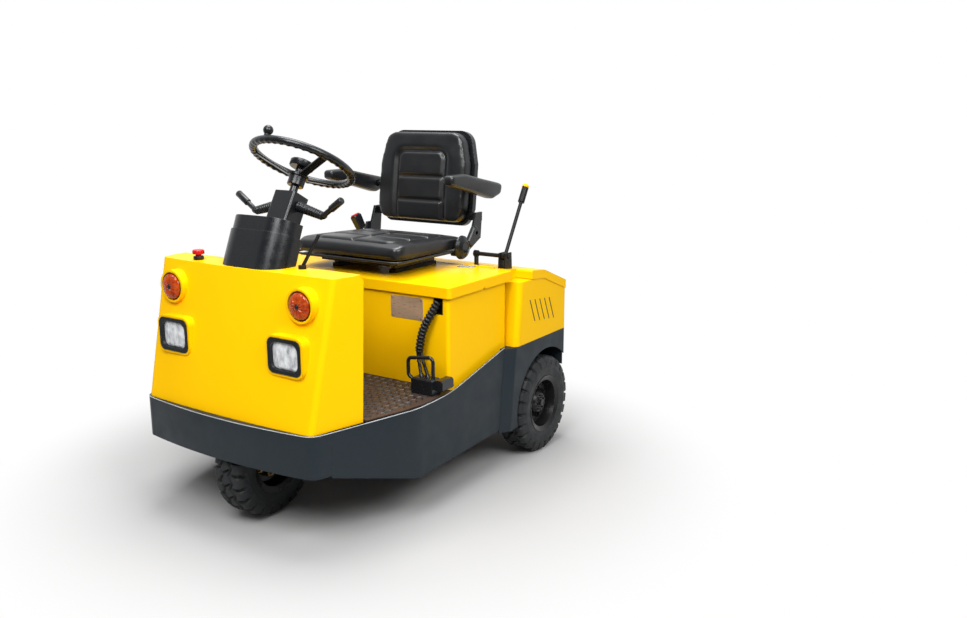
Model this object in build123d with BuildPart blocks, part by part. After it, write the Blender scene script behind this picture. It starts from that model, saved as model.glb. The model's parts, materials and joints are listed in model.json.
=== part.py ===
import os
from math import cos, radians, sin, tan

from build123d import *

os.makedirs("parts", exist_ok=True)

# Driving dimensions in millimetres. +X forward, +Y left, +Z up, ground at Z 0.
# Lengths along X are measured from one mark near the rear axle and placed by ax().
REAR_MARK_X = -460.0
SHEET = 4.0
REST_GAP = 0.3
PIN_GAP = 0.05

# Wheels
TYRE_R = 196.0
TYRE_W = 120.0
RIM_SEAT_R = 104.0
RIM_LIP_H = 12.0
RIM_LIP_R = RIM_SEAT_R + RIM_LIP_H
AXLE_STUB_R = 22.0
HUB_R = 46.0
LUGS = 24
LUG_GAP = 13.0
LUG_REACH = 30.0
LUG_DEPTH = 9.0
REAR_WHEEL_X = -12.0
FRONT_WHEEL_X = 1010.0
STEER_REST_DEG = 4.0
KINGPIN_R = 25.0

# Half widths grow outwards from the battery box
BOX_Y = 478.0
LID_Y = BOX_Y + 12
SKIRT_Y = BOX_Y + 20
SKIRT_IN_Y = SKIRT_Y - SHEET
FENDER_Y = SKIRT_Y + 25
HOOD_Y = FENDER_Y + SHEET
HOOD_NECK_Y = BOX_Y - 26
REAR_TYRE_OUT_Y = FENDER_Y + 13

# Levels
FLOOR_Z = 2 * TYRE_R + 12
FLOOR_T = 5.0
RAIL_LOW_Z = TYRE_R + 70
PAN_Z = RAIL_LOW_Z + 74
BAND_TOP_Z = FLOOR_Z - 9
BAND_LOW_Z = BAND_TOP_Z - 140
SKIRT_LOW_Z = BAND_TOP_Z - 243
FENDER_SEAM_Z = 2 * TYRE_R + 85
FENDER_TOP_Z = FENDER_SEAM_Z + 247
LID_Z = FENDER_TOP_Z + 47
COWL_TOP_Z = BAND_TOP_Z + 471

# Front band and skirts
BAND_X = 1217.0
BAND_CORNER_X = BAND_X - 27
BAND_CORNER_Y = 352.0
TAPER_X = BAND_X - 67
TAPER_Y = BAND_CORNER_Y + 47
BAND_SEAM_X = BAND_X - 97
BEND_X = 800.0
BEND_ROUND = 45.0
SKIRT_REAR_TOP_X = 250.0
SKIRT_REAR_LOW_X = 287.0
SKIRT_REAR_Z = FENDER_SEAM_Z + 6

# Front cowl
COWL_LOW_X = BAND_X - 37
COWL_RUN = 110.0
COWL_TOP_X = COWL_LOW_X - COWL_RUN
COWL_LOW_Y = 380.0
COWL_TOP_Y = 394.0
COWL_REAR_X = COWL_LOW_X - 188
COWL_REAR_TOP_X = COWL_TOP_X - 108
COWL_REAR_Y = 428.0
COWL_REAR_TOP_Y = 422.0
COWL_BOW = 14.0
COWL_ROUND = 22.0
COWL_REAR_ROUND = 40.0

# Lamps
HEADLAMP_Y = 258.0
HEADLAMP_Z = BAND_TOP_Z + 228
HEADLAMP_W = 140.0
HEADLAMP_H = 114.0
HEADLAMP_PROUD = 6.0
INDICATOR_Y = 296.0
INDICATOR_Z = BAND_TOP_Z + 385
INDICATOR_R = 46.0
INDICATOR_PROUD = 12.0
BEZEL = 8.0
LAMP_DEPTH = 46.0

# Battery box, lid and hinge
BOX_FRONT_X = 588.0
BOX_REAR_X = 216.0
BOX_ROUND = 13.0
LID_FRONT_X = BOX_FRONT_X + 10
LID_FLANGE = 40.0
HINGE_X = 178.0
HINGE_R = 5.0
LID_REAR_X = HINGE_X + 8

# Rear body
FENDER_LOW_X = 202.0
FENDER_TOP_X = 172.0
ARCH_LOW_X = 243.0
FENDER_REAR_X = -185.0
FENDER_ROUND = 22.0
ARCH_R = TYRE_R + 31
ARCH_SHIFT = 24.0
WELL_LOW_Z = 2 * TYRE_R - 70
HOOD_STEP_X = 92.0
HOOD_CREST_X = -5.0
HOOD_FRONT_Z = LID_Z - 1
HOOD_CREST_Z = LID_Z - 21
HOOD_REAR_Z = LID_Z - 89
HOOD_SKIRT_H = 34.0

# Steering column and wheel
WHEEL_TILT = 29.0
SW_X = 773.0
SW_Z = COWL_TOP_Z + 321
SW_R = 174.0
SW_RIM_R = 14.0
HUB_DROP = 87.0
SHAFT_R = 14.0
SWITCH_DROP = 120.0
SWITCH_LEN = 150.0
SWITCH_W = 94.0
SWITCH_T = 78.0
SHROUD_Y = 135.0
SHROUD_DEPTH = 120.0
SHROUD_LEAN = 22.0
SHROUD_ROUND = 78.0
SHROUD_SEAM_Z = COWL_TOP_Z + 118
SHROUD_BAND = 48.0

# Seat
CUSHION_Y = 262.0
CUSHION_FRONT_X = 592.0
CUSHION_REAR_X = 135.0
CUSHION_LOW_Z = LID_Z + 56
CUSHION_T = 70.0
CUSHION_TOP_Z = CUSHION_LOW_Z + CUSHION_T
BACK_LEAN = 8.5
BACK_X = 130.0
BACK_Z = LID_Z + 146
BACK_H = 380.0
PAD_T = 60.0
SHELL_T = 24.0
RECLINE_X = BACK_X - 34
RECLINE_Z = LID_Z + 103
RECLINE_PIN_R = 9.0
ARM_PIVOT_X = RECLINE_X - 59
ARM_PIVOT_Z = RECLINE_Z + 184
ARM_PIN_R = 11.0
ARM_IN_Y = CUSHION_Y + 7
ARM_W = 55.0

# Tow hitch
HITCH_X = -252.0
HITCH_Z = RAIL_LOW_Z + 70
HITCH_PIN_R = 16.0
HITCH_EAR_R = 45.0

# Battery lead: points from the notch in the box down to the plug
CONDUIT_R = 16.0
CABLE_R = 6.0
CONDUIT_ROUTE = [(588, 434, FLOOR_Z + 313), (606, 420, FLOOR_Z + 273), (617, 394, FLOOR_Z + 224),
                 (621, 379, FLOOR_Z + 172), (622, 376, FLOOR_Z + 135)]
CABLE_ROUTES = [
    [(622, 369, FLOOR_Z + 133.4), (627, 374, FLOOR_Z + 107.5), (637, 388, FLOOR_Z + 83.5), (648, 402, FLOOR_Z + 60)],
    [(622, 383, FLOOR_Z + 132.2), (627, 391, FLOOR_Z + 108.5), (637, 411, FLOOR_Z + 85), (649, 430, FLOOR_Z + 61)],
]


def ax(length):
    return REAR_MARK_X + length


def slab(x0, x1, y0, y1, z0, z1, mode=Mode.ADD):
    middle = ((ax(x0) + ax(x1)) / 2, (y0 + y1) / 2, (z0 + z1) / 2)
    with Locations(middle):
        Box(abs(x1 - x0), abs(y1 - y0), abs(z1 - z0), mode=mode)


def side_prism(points, y0, y1, mode=Mode.ADD, round_r=0):
    with BuildSketch(Plane.XZ.offset(-y0)) as outline:
        with BuildLine():
            Polyline([(ax(px), pz) for px, pz in points], close=True)
        make_face()
        if round_r:
            fillet(outline.vertices(), round_r)
    extrude(outline.sketch, amount=-(y1 - y0), mode=mode)


def plan_prism(points, z0, z1, mode=Mode.ADD):
    with BuildSketch(Plane.XY.offset(z0)) as outline:
        with BuildLine():
            Polyline([(ax(px), py) for px, py in points], close=True)
        make_face()
    extrude(outline.sketch, amount=z1 - z0, mode=mode)


def placed(point):
    return Vector(ax(point[0]), point[1], point[2])


def rod(start, end, radius, mode=Mode.ADD):
    run = placed(end) - placed(start)
    with BuildSketch(Plane(origin=placed(start), z_dir=run)) as end_face:
        Circle(radius)
    extrude(end_face.sketch, amount=run.length, mode=mode)


def ball(point, radius):
    with Locations(placed(point)):
        Sphere(radius)


def both_sides(points):
    return points + [(px, -py) for px, py in reversed(points)]


def keep(name, builder):
    builder.part.label = name
    export_step(builder.part, f"parts/{name}.step")


def keep_mirrored(name, source):
    with BuildPart() as other_side:
        mirror(source.part, about=Plane.XZ)
    keep(name, other_side)


def front_rounded(x0, x1, half_y, z, radius):
    with BuildSketch(Plane.XY.offset(z)) as outline:
        with Locations((ax((x0 + x1) / 2), 0)):
            Rectangle(x1 - x0, 2 * half_y)
        fillet(outline.vertices().group_by(Axis.X)[-1], radius)
    return outline.sketch


# Chassis frame: two rails, battery pan and cross members
RAIL_Y0 = 250.0
RAIL_Y1 = 300.0
CROSS_X0 = BOX_FRONT_X + 52
CROSS_X1 = BOX_FRONT_X + 112
RAIL_FRONT_X = BAND_SEAM_X + 28
with BuildPart() as chassis_frame:
    for side in (-1, 1):
        near, far = side * RAIL_Y0, side * RAIL_Y1
        slab(FENDER_REAR_X + SHEET, CROSS_X1, near, far, RAIL_LOW_Z, PAN_Z - SHEET)
        slab(CROSS_X0, RAIL_FRONT_X, near, far, RAIL_LOW_Z, FLOOR_Z - FLOOR_T)
        slab(RAIL_FRONT_X, BAND_X - 25, near, far, RAIL_LOW_Z, BAND_TOP_Z - SHEET)
    extrude(front_rounded(BOX_REAR_X + SHEET, BOX_FRONT_X - SHEET, BOX_Y - SHEET, PAN_Z - SHEET, BOX_ROUND - SHEET),
            amount=SHEET)
    slab(CROSS_X0, CROSS_X1, -SKIRT_IN_Y, SKIRT_IN_Y, PAN_Z - SHEET, FLOOR_Z - FLOOR_T)
    slab(FENDER_REAR_X + SHEET, FENDER_REAR_X + 35, -RAIL_Y0, RAIL_Y0, RAIL_LOW_Z, PAN_Z - SHEET)
keep("chassis_frame", chassis_frame)

# Floor plate follows the inside of the skirt and clears the fork's crown
CROWN_R = 96.0
CROWN_CLEAR = 9.0
taper_slope = (SKIRT_Y - TAPER_Y) / (TAPER_X - BEND_X)
with BuildPart() as floor_plate:
    neck_x = COWL_REAR_X - SHEET
    neck_y = SKIRT_IN_Y - taper_slope * (neck_x - BEND_X) - 2
    outline = [
        (BOX_FRONT_X, SKIRT_IN_Y), (BEND_X - BEND_ROUND, SKIRT_IN_Y), (BEND_X + BEND_ROUND, SKIRT_IN_Y - 14),
        (neck_x, neck_y), (neck_x, COWL_REAR_Y - 4 * SHEET), (BAND_SEAM_X, COWL_LOW_Y - 5 * SHEET),
    ]
    plan_prism(both_sides(outline), FLOOR_Z - FLOOR_T, FLOOR_Z)
    with Locations((ax(FRONT_WHEEL_X), 0, FLOOR_Z)):
        Cylinder(CROWN_R + CROWN_CLEAR, 4 * FLOOR_T, mode=Mode.SUBTRACT)
keep("floor_plate", floor_plate)


# Front skirt band: bowed face, rounded corners and a flat ledge under the cowl
def band_sketch(inset):
    seam_y = TAPER_Y + taper_slope * (TAPER_X - BAND_SEAM_X) - inset
    taper = (ax(TAPER_X), TAPER_Y - inset)
    corner = (ax(BAND_CORNER_X - inset), BAND_CORNER_Y)
    turn = (ax(BAND_CORNER_X - 14 - 0.75 * inset), BAND_CORNER_Y + 34 - 0.75 * inset)
    with BuildSketch(Plane.XY.offset(BAND_LOW_Z)) as outline:
        with BuildLine() as edge:
            ThreePointArc((corner[0], -corner[1]), (ax(BAND_X - inset), 0), corner)
            ThreePointArc(corner, turn, taper)
            Line(taper, (ax(BAND_SEAM_X), seam_y))
            Line((ax(BAND_SEAM_X), seam_y), (ax(BAND_SEAM_X), -seam_y))
            Line((ax(BAND_SEAM_X), -seam_y), (taper[0], -taper[1]))
            ThreePointArc((taper[0], -taper[1]), (turn[0], -turn[1]), (corner[0], -corner[1]))
        make_face(edge.edges())
    return outline.sketch


with BuildPart() as skirt_front:
    extrude(band_sketch(0), amount=BAND_TOP_Z - BAND_LOW_Z)
    extrude(band_sketch(SHEET), amount=BAND_TOP_Z - SHEET - BAND_LOW_Z, mode=Mode.SUBTRACT)
    inner_y = BAND_CORNER_Y - 22
    slab(BAND_SEAM_X - 1, BAND_SEAM_X + 30, -inner_y, inner_y, BAND_TOP_Z - 2 * SHEET, BAND_TOP_Z + 1, Mode.SUBTRACT)
keep("skirt_front", skirt_front)

# Side skirts: a bent ribbon cut to a side outline whose top sweeps up to the fender
SWEEP_FRONT_X = BEND_X - 100
SWEEP_REAR_X = BEND_X - 260
BAND_SEAM_Y = TAPER_Y + taper_slope * (TAPER_X - BAND_SEAM_X)
with BuildPart() as skirt_left:
    with BuildSketch(Plane.XZ.offset(-BAND_SEAM_Y + 30)) as side_outline:
        with BuildLine() as edge:
            low = [(BAND_SEAM_X, BAND_TOP_Z), (BAND_SEAM_X, BAND_LOW_Z - 8), (BEND_X, SKIRT_LOW_Z),
                   (SKIRT_REAR_LOW_X, SKIRT_LOW_Z + 12), (SKIRT_REAR_TOP_X, SKIRT_REAR_Z), (SWEEP_REAR_X, BAND_TOP_Z + 21)]
            Polyline([(ax(px), pz) for px, pz in low])
            ThreePointArc((ax(SWEEP_REAR_X), BAND_TOP_Z + 21), (ax(BEND_X - 180), BAND_TOP_Z + 7.5),
                          (ax(SWEEP_FRONT_X), BAND_TOP_Z + 3))
            Line((ax(SWEEP_FRONT_X), BAND_TOP_Z + 3), (ax(BAND_SEAM_X), BAND_TOP_Z))
        make_face(edge.edges())
    extrude(side_outline.sketch, amount=-(SKIRT_Y - BAND_SEAM_Y + 60))
    with BuildSketch(Plane.XY.offset(SKIRT_LOW_Z - 10)) as ribbon:
        with BuildLine() as edge:
            loop = [(BAND_SEAM_X, BAND_SEAM_Y), (BEND_X, SKIRT_Y), (SKIRT_REAR_TOP_X - 10, SKIRT_Y),
                    (SKIRT_REAR_TOP_X - 10, SKIRT_IN_Y), (BEND_X, SKIRT_IN_Y), (BAND_SEAM_X, BAND_SEAM_Y - SHEET)]
            Polyline([(ax(px), py) for px, py in loop], close=True)
        make_face(edge.edges())
        at_bend = ribbon.vertices().filter_by_position(Axis.X, ax(BEND_X) - 1, ax(BEND_X) + 1)
        fillet(at_bend, 4 * BEND_ROUND)
    extrude(ribbon.sketch, amount=SKIRT_REAR_Z - SKIRT_LOW_Z + 40, mode=Mode.INTERSECT)
keep("skirt_left", skirt_left)
keep_mirrored("skirt_right", skirt_left)


# Lamps look straight ahead out of the leaning cowl face
def cowl_face_x(y, z):
    share = (z - BAND_TOP_Z) / (COWL_TOP_Z - BAND_TOP_Z)
    half = COWL_LOW_Y + share * (COWL_TOP_Y - COWL_LOW_Y)
    return COWL_LOW_X - share * COWL_RUN + COWL_BOW * (1 - (y / half) ** 2)


def lamp_plane(y, z, low, proud):
    face_x = cowl_face_x(y, z - low) + proud
    return Plane(origin=(ax(face_x), y, z), x_dir=(0, 1, 0), z_dir=(1, 0, 0))


HEAD_PLANES = [lamp_plane(s * HEADLAMP_Y, HEADLAMP_Z, HEADLAMP_H / 2 + BEZEL, HEADLAMP_PROUD) for s in (-1, 1)]
TURN_PLANES = [lamp_plane(s * INDICATOR_Y, INDICATOR_Z, INDICATOR_R + BEZEL, INDICATOR_PROUD) for s in (-1, 1)]
LAMP_FRAME = 12.0
with BuildPart() as headlamps:
    for plane in HEAD_PLANES:
        with BuildSketch(plane.offset(-LAMP_DEPTH)):
            RectangleRounded(HEADLAMP_W, HEADLAMP_H, 22)
        extrude(amount=LAMP_DEPTH + 2)
        with BuildSketch(plane.offset(2)):
            RectangleRounded(HEADLAMP_W - 2 * LAMP_FRAME, HEADLAMP_H - 2 * LAMP_FRAME, 26)
        extrude(amount=-12, taper=8, mode=Mode.SUBTRACT)
keep("headlamps", headlamps)

with BuildPart() as indicator_lamps:
    for plane in TURN_PLANES:
        with BuildSketch(plane.offset(-LAMP_DEPTH)):
            Circle(INDICATOR_R + 2)
        extrude(amount=LAMP_DEPTH)
        with BuildSketch(plane):
            Circle(INDICATOR_R - 2)
        extrude(amount=6)
        with BuildSketch(plane.offset(6)):
            Circle(INDICATOR_R - 2)
        extrude(amount=7, taper=50)
keep("indicator_lamps", indicator_lamps)


# Front cowl: leaning sheet shell, open at the back and below, with bezels round the lamps
def cowl_sketch(z, front, front_y, rear, rear_y, radius):
    with BuildSketch(Plane.XY.offset(z)) as outline:
        with BuildLine() as edge:
            ThreePointArc((ax(front), -front_y), (ax(front + COWL_BOW), 0), (ax(front), front_y))
            Polyline((ax(front), front_y), (ax(rear), rear_y), (ax(rear), -rear_y), (ax(front), -front_y))
        make_face(edge.edges())
        fillet(outline.vertices().group_by(Axis.X)[-1], radius)
    return outline.sketch


OPEN_BACK = 60.0
with BuildPart() as front_cowl:
    loft([
        cowl_sketch(BAND_TOP_Z, COWL_LOW_X, COWL_LOW_Y, COWL_REAR_X, COWL_REAR_Y, COWL_ROUND),
        cowl_sketch(COWL_TOP_Z, COWL_TOP_X, COWL_TOP_Y, COWL_REAR_TOP_X, COWL_REAR_TOP_Y, COWL_ROUND),
    ], ruled=True)
    for plane in HEAD_PLANES:
        with BuildSketch(plane.offset(-LAMP_DEPTH)):
            RectangleRounded(HEADLAMP_W + 2 * BEZEL, HEADLAMP_H + 2 * BEZEL, 22 + BEZEL)
        extrude(amount=LAMP_DEPTH)
    for plane in TURN_PLANES:
        with BuildSketch(plane.offset(-LAMP_DEPTH)):
            Circle(INDICATOR_R + 2 + BEZEL)
        extrude(amount=LAMP_DEPTH)
    inner_round = COWL_ROUND - SHEET
    loft([
        cowl_sketch(BAND_TOP_Z, COWL_LOW_X - SHEET, COWL_LOW_Y - SHEET, COWL_REAR_X - OPEN_BACK,
                    COWL_REAR_Y - SHEET, inner_round),
        cowl_sketch(COWL_TOP_Z - SHEET, COWL_TOP_X - SHEET, COWL_TOP_Y - SHEET, COWL_REAR_TOP_X - OPEN_BACK,
                    COWL_REAR_TOP_Y - SHEET, inner_round),
    ], ruled=True, mode=Mode.SUBTRACT)
    for plane in HEAD_PLANES:
        with BuildSketch(plane.offset(-LAMP_DEPTH)):
            RectangleRounded(HEADLAMP_W, HEADLAMP_H, 22)
        extrude(amount=LAMP_DEPTH + 2, mode=Mode.SUBTRACT)
    add(indicator_lamps.part, mode=Mode.SUBTRACT)
    round_x = COWL_REAR_TOP_X + COWL_REAR_ROUND - 6
    round_z = COWL_TOP_Z - COWL_REAR_ROUND
    with BuildSketch(Plane.XZ.offset(COWL_REAR_Y + 10)) as corner_cut:
        with Locations((ax(round_x - COWL_REAR_ROUND / 2), round_z + COWL_REAR_ROUND / 2)):
            Rectangle(COWL_REAR_ROUND + 12, COWL_REAR_ROUND + 12)
        with Locations((ax(round_x), round_z)):
            Circle(COWL_REAR_ROUND, mode=Mode.SUBTRACT)
        with Locations((ax(round_x + COWL_REAR_ROUND), round_z), (ax(round_x), round_z - COWL_REAR_ROUND)):
            Rectangle(2 * COWL_REAR_ROUND, 2 * COWL_REAR_ROUND, mode=Mode.SUBTRACT)
    for low_y in (COWL_REAR_TOP_Y - 12, -COWL_REAR_Y - 10):
        extrude(corner_cut.sketch.moved(Location((0, low_y + COWL_REAR_Y + 10, 0))), amount=-(COWL_REAR_Y - COWL_REAR_TOP_Y + 22),
                mode=Mode.SUBTRACT)
    slab(COWL_REAR_TOP_X - 2, COWL_REAR_TOP_X + 28, -34, 34, COWL_TOP_Z - 2 * SHEET, COWL_TOP_Z + 1, Mode.SUBTRACT)
keep("front_cowl", front_cowl)

STOP_X = COWL_TOP_X - 30
STOP_Y = -245.0
with BuildPart() as emergency_stop:
    rod((STOP_X, STOP_Y, COWL_TOP_Z), (STOP_X, STOP_Y, COWL_TOP_Z + 12), 17)
    rod((STOP_X, STOP_Y, COWL_TOP_Z + 12), (STOP_X, STOP_Y, COWL_TOP_Z + 20), 10)
    rod((STOP_X, STOP_Y, COWL_TOP_Z + 20), (STOP_X, STOP_Y, COWL_TOP_Z + 34), 20)
    fillet(emergency_stop.edges().group_by(Axis.Z)[-1], 5)
keep("emergency_stop", emergency_stop)

# Steering housing carries the kingpin under a closed top
CROWN_LOW = TYRE_R + 6
CROWN_T = 9.0
KINGPIN_H = 78.0
HOUSING_TOP_Z = TYRE_R + CROWN_LOW + CROWN_T + KINGPIN_H + 8
with BuildPart() as steering_housing:
    slab(FRONT_WHEEL_X - 120, FRONT_WHEEL_X + 120, -130, 130, FLOOR_Z, HOUSING_TOP_Z)
    fillet(steering_housing.edges().filter_by(Axis.Z), 30)
    with Locations((ax(FRONT_WHEEL_X), 0, FLOOR_Z)):
        Cylinder(CROWN_R + CROWN_CLEAR, 24, mode=Mode.SUBTRACT)
        Cylinder(KINGPIN_R + PIN_GAP, 2 * (HOUSING_TOP_Z - FLOOR_Z - 6), mode=Mode.SUBTRACT)
keep("steering_housing", steering_housing)

# Steering column: shaft, switch box, tube and a jointed shaft down to the housing
tilt = radians(WHEEL_TILT)


def column_point(drop, y=0.0):
    return (SW_X + drop * sin(tilt), y, SW_Z - drop * cos(tilt))


JOINT_DROP = (FRONT_WHEEL_X - SW_X) / sin(tilt)
with BuildPart() as steering_column:
    rod(column_point(HUB_DROP + REST_GAP), column_point(SWITCH_DROP), SHAFT_R)
    switch_plane = Plane(origin=placed(column_point(SWITCH_DROP)), x_dir=(0, 1, 0), z_dir=(sin(tilt), 0, -cos(tilt)))
    with BuildSketch(switch_plane):
        RectangleRounded(SWITCH_W, SWITCH_T, 9)
    extrude(amount=SWITCH_LEN)
    rod(column_point(SWITCH_DROP + SWITCH_LEN), column_point(JOINT_DROP), 24)
    ball(column_point(JOINT_DROP), 30)
    rod(column_point(JOINT_DROP), (FRONT_WHEEL_X, 0, HOUSING_TOP_Z), 15)
keep("steering_column", steering_column)

# Column shroud: an oblique rounded drum with a narrower band on top
shroud_tilt = radians(SHROUD_LEAN)
SHROUD_FRONT_X = COWL_TOP_X + 6
seam_plane = Plane(origin=(ax(SHROUD_FRONT_X - 54), 0, SHROUD_SEAM_Z), z_dir=(-sin(shroud_tilt), 0, cos(shroud_tilt)))


def shroud_prism(inset, top_plane):
    with BuildSketch(Plane.XY.offset(COWL_TOP_Z)) as outline:
        with Locations((ax(SHROUD_FRONT_X - SHROUD_DEPTH / 2), 0)):
            Rectangle(SHROUD_DEPTH - 2 * inset, 2 * (SHROUD_Y - inset))
        fillet(outline.vertices().group_by(Axis.X)[-1], SHROUD_ROUND - inset)
        fillet(outline.vertices().group_by(Axis.X)[0], 12)
    extrude(outline.sketch, amount=2 * (SHROUD_SEAM_Z - COWL_TOP_Z), dir=(-sin(shroud_tilt), 0, cos(shroud_tilt)))
    split(bisect_by=top_plane, keep=Keep.BOTTOM)


with BuildPart() as shroud_band:
    shroud_prism(5, seam_plane.offset(SHROUD_BAND))
with BuildPart() as column_shroud:
    shroud_prism(0, seam_plane)
    add(shroud_band.part)
    add(steering_column.part, mode=Mode.SUBTRACT)
keep("column_shroud", column_shroud)

# Column levers: ribbed boots, elbows and grips
LEVER_DROP = SWITCH_DROP + 40
BOOT_RINGS = 7
with BuildPart() as column_levers:
    for side in (-1, 1):
        root = column_point(LEVER_DROP, side * SWITCH_W / 2)
        elbow = (root[0], side * (SWITCH_W / 2 + 110), root[2] - 26)
        tip = (root[0], side * (SWITCH_W / 2 + 196), root[2] + 32)
        for ring in range(BOOT_RINGS):
            ends = []
            for share in (ring / BOOT_RINGS, (ring + 0.6) / BOOT_RINGS):
                ends.append(tuple(a + share * (b - a) for a, b in zip(root, elbow)))
            rod(ends[0], ends[1], 17 - 0.5 * ring)
        rod(root, elbow, 12)
        ball(elbow, 12)
        rod(elbow, tip, 9)
        grip = tuple(a + 0.45 * (b - a) for a, b in zip(elbow, tip))
        rod(grip, tip, 12.5)
    add(steering_column.part, mode=Mode.SUBTRACT)
keep("column_levers", column_levers)

# Dash lever: flat bar on a small foot
DASH_X = COWL_TOP_X - 85
DASH_Y = 185.0
with BuildPart() as dash_lever:
    foot = (DASH_X, DASH_Y, COWL_TOP_Z)
    rod(foot, (DASH_X, DASH_Y, COWL_TOP_Z + 12), 13)
    bar_start = placed((DASH_X, DASH_Y, COWL_TOP_Z + 6))
    bar_run = placed((DASH_X - 50, DASH_Y + 30, COWL_TOP_Z + 106)) - bar_start
    with BuildSketch(Plane(origin=bar_start, x_dir=(0.3, 0.9, -0.1), z_dir=bar_run)):
        RectangleRounded(13, 7, 2)
    extrude(amount=bar_run.length)
keep("dash_lever", dash_lever)

# Pedals on the floor ahead of the driver
PEDAL_X = FRONT_WHEEL_X - 170
with BuildPart() as brake_pedal:
    side_prism([(PEDAL_X - 12, FLOOR_Z + 42), (PEDAL_X, FLOOR_Z + 40), (PEDAL_X + 18, FLOOR_Z + 112),
                (PEDAL_X + 6, FLOOR_Z + 114)], -225, -145)
    side_prism([(PEDAL_X + 2, FLOOR_Z), (PEDAL_X + 26, FLOOR_Z), (PEDAL_X + 16, FLOOR_Z + 100),
                (PEDAL_X + 6, FLOOR_Z + 70)], -195, -175)
    slab(PEDAL_X - 10, PEDAL_X + 46, -210, -160, FLOOR_Z, FLOOR_Z + 8)
keep("brake_pedal", brake_pedal)

with BuildPart() as accelerator_pedal:
    side_prism([(PEDAL_X - 50, FLOOR_Z), (PEDAL_X + 40, FLOOR_Z + 62), (PEDAL_X + 46, FLOOR_Z + 54),
                (PEDAL_X, FLOOR_Z)], -330, -250)
keep("accelerator_pedal", accelerator_pedal)

# Front fork and wheel, turned a little to the left at rest
turn = radians(STEER_REST_DEG)
front_axis = Vector(-sin(turn), cos(turn), 0)
front_ahead = Vector(cos(turn), sin(turn), 0)
front_centre = Vector(ax(FRONT_WHEEL_X), 0, TYRE_R)
front_upright = Plane(origin=front_centre, x_dir=front_ahead, z_dir=front_axis)
front_level = Plane(origin=front_centre, x_dir=front_ahead, z_dir=(0, 0, 1))
ARM_IN = TYRE_W / 2 + 12
ARM_T = 16.0
with BuildPart() as steer_fork:
    with BuildSketch(front_level.offset(CROWN_LOW)):
        Circle(CROWN_R)
    extrude(amount=CROWN_T)
    with BuildSketch(front_level.offset(CROWN_LOW + CROWN_T)):
        Circle(KINGPIN_R)
    extrude(amount=KINGPIN_H)
    with BuildSketch(front_upright.offset(-ARM_IN - ARM_T)):
        with BuildLine():
            Polyline((-60, -CROWN_LOW), (60, -CROWN_LOW), (40, 40), (-40, 40), close=True)
        make_face()
    extrude(amount=ARM_T)
    with BuildSketch(front_upright.offset(-ARM_IN)):
        Circle(AXLE_STUB_R)
    extrude(amount=ARM_IN + 30)
keep("steer_fork", steer_fork)

# Wheel sections: first column is the radius, second the distance along the axle
half = TYRE_W / 2
WALL_R = RIM_LIP_R + 0.4 * (TYRE_R - RIM_LIP_R)
TYRE_SECTION = [
    (RIM_SEAT_R, -half + 14), (RIM_LIP_R + 2, -half + 3.5), (WALL_R, -half), (TYRE_R - 16, -half + 2),
    (TYRE_R, -half + 14), (TYRE_R, half - 14), (TYRE_R - 16, half - 2), (WALL_R, half),
    (RIM_LIP_R + 2, half - 3.5), (RIM_SEAT_R, half - 14),
]
DISH_R = RIM_SEAT_R - 12
RIM_SECTION = [
    (AXLE_STUB_R + PIN_GAP, -30), (HUB_R, -30), (HUB_R, -8), (DISH_R - 8, -2), (DISH_R + 4, -half + 10),
    (RIM_LIP_R, -half + 2), (RIM_LIP_R, -half + 5), (RIM_SEAT_R, -half + 14), (RIM_SEAT_R, half - 14),
    (RIM_LIP_R, half - 5), (RIM_LIP_R, half - 2), (DISH_R + 4, half - 10), (DISH_R - 6, 8), (DISH_R - 26, 3),
    (HUB_R + 6, 8), (HUB_R, 24), (HUB_R - 8, 33), (AXLE_STUB_R + PIN_GAP, 33),
]


def wheel_ring(centre, axle_dir, ahead, section):
    with BuildSketch(Plane(origin=centre, x_dir=ahead, z_dir=ahead.cross(axle_dir))) as ring_face:
        with BuildLine():
            Polyline(section, close=True)
        make_face()
    revolve(ring_face.sketch, axis=Axis(centre, axle_dir))


def shoulder_lugs(centre, axle_dir, ahead):
    for side in (-1, 1):
        with BuildSketch(Plane(origin=centre, x_dir=ahead, z_dir=axle_dir).offset(side * (half + 1))) as gaps:
            with PolarLocations(TYRE_R - LUG_DEPTH / 2 + 1, LUGS, start_angle=90 * (1 - side) / LUGS):
                Rectangle(LUG_DEPTH + 2, LUG_GAP)
        extrude(gaps.sketch, amount=-side * LUG_REACH, mode=Mode.SUBTRACT)


WHEELS = {
    "front": (front_centre, front_axis, front_ahead),
    "rear_left": (Vector(ax(REAR_WHEEL_X), REAR_TYRE_OUT_Y - half, TYRE_R), Vector(0, 1, 0), Vector(1, 0, 0)),
}
tyres, rims = {}, {}
for place, (centre, axle_dir, ahead) in WHEELS.items():
    with BuildPart() as tyre:
        wheel_ring(centre, axle_dir, ahead, TYRE_SECTION)
        shoulder_lugs(centre, axle_dir, ahead)
    with BuildPart() as rim:
        wheel_ring(centre, axle_dir, ahead, RIM_SECTION)
    tyres[place] = tyre
    rims[place] = rim
keep("front_tyre", tyres["front"])
keep("front_rim", rims["front"])
keep("rear_tyre_left", tyres["rear_left"])
keep("rear_rim_left", rims["rear_left"])
keep_mirrored("rear_tyre_right", tyres["rear_left"])
keep_mirrored("rear_rim_right", rims["rear_left"])

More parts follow.
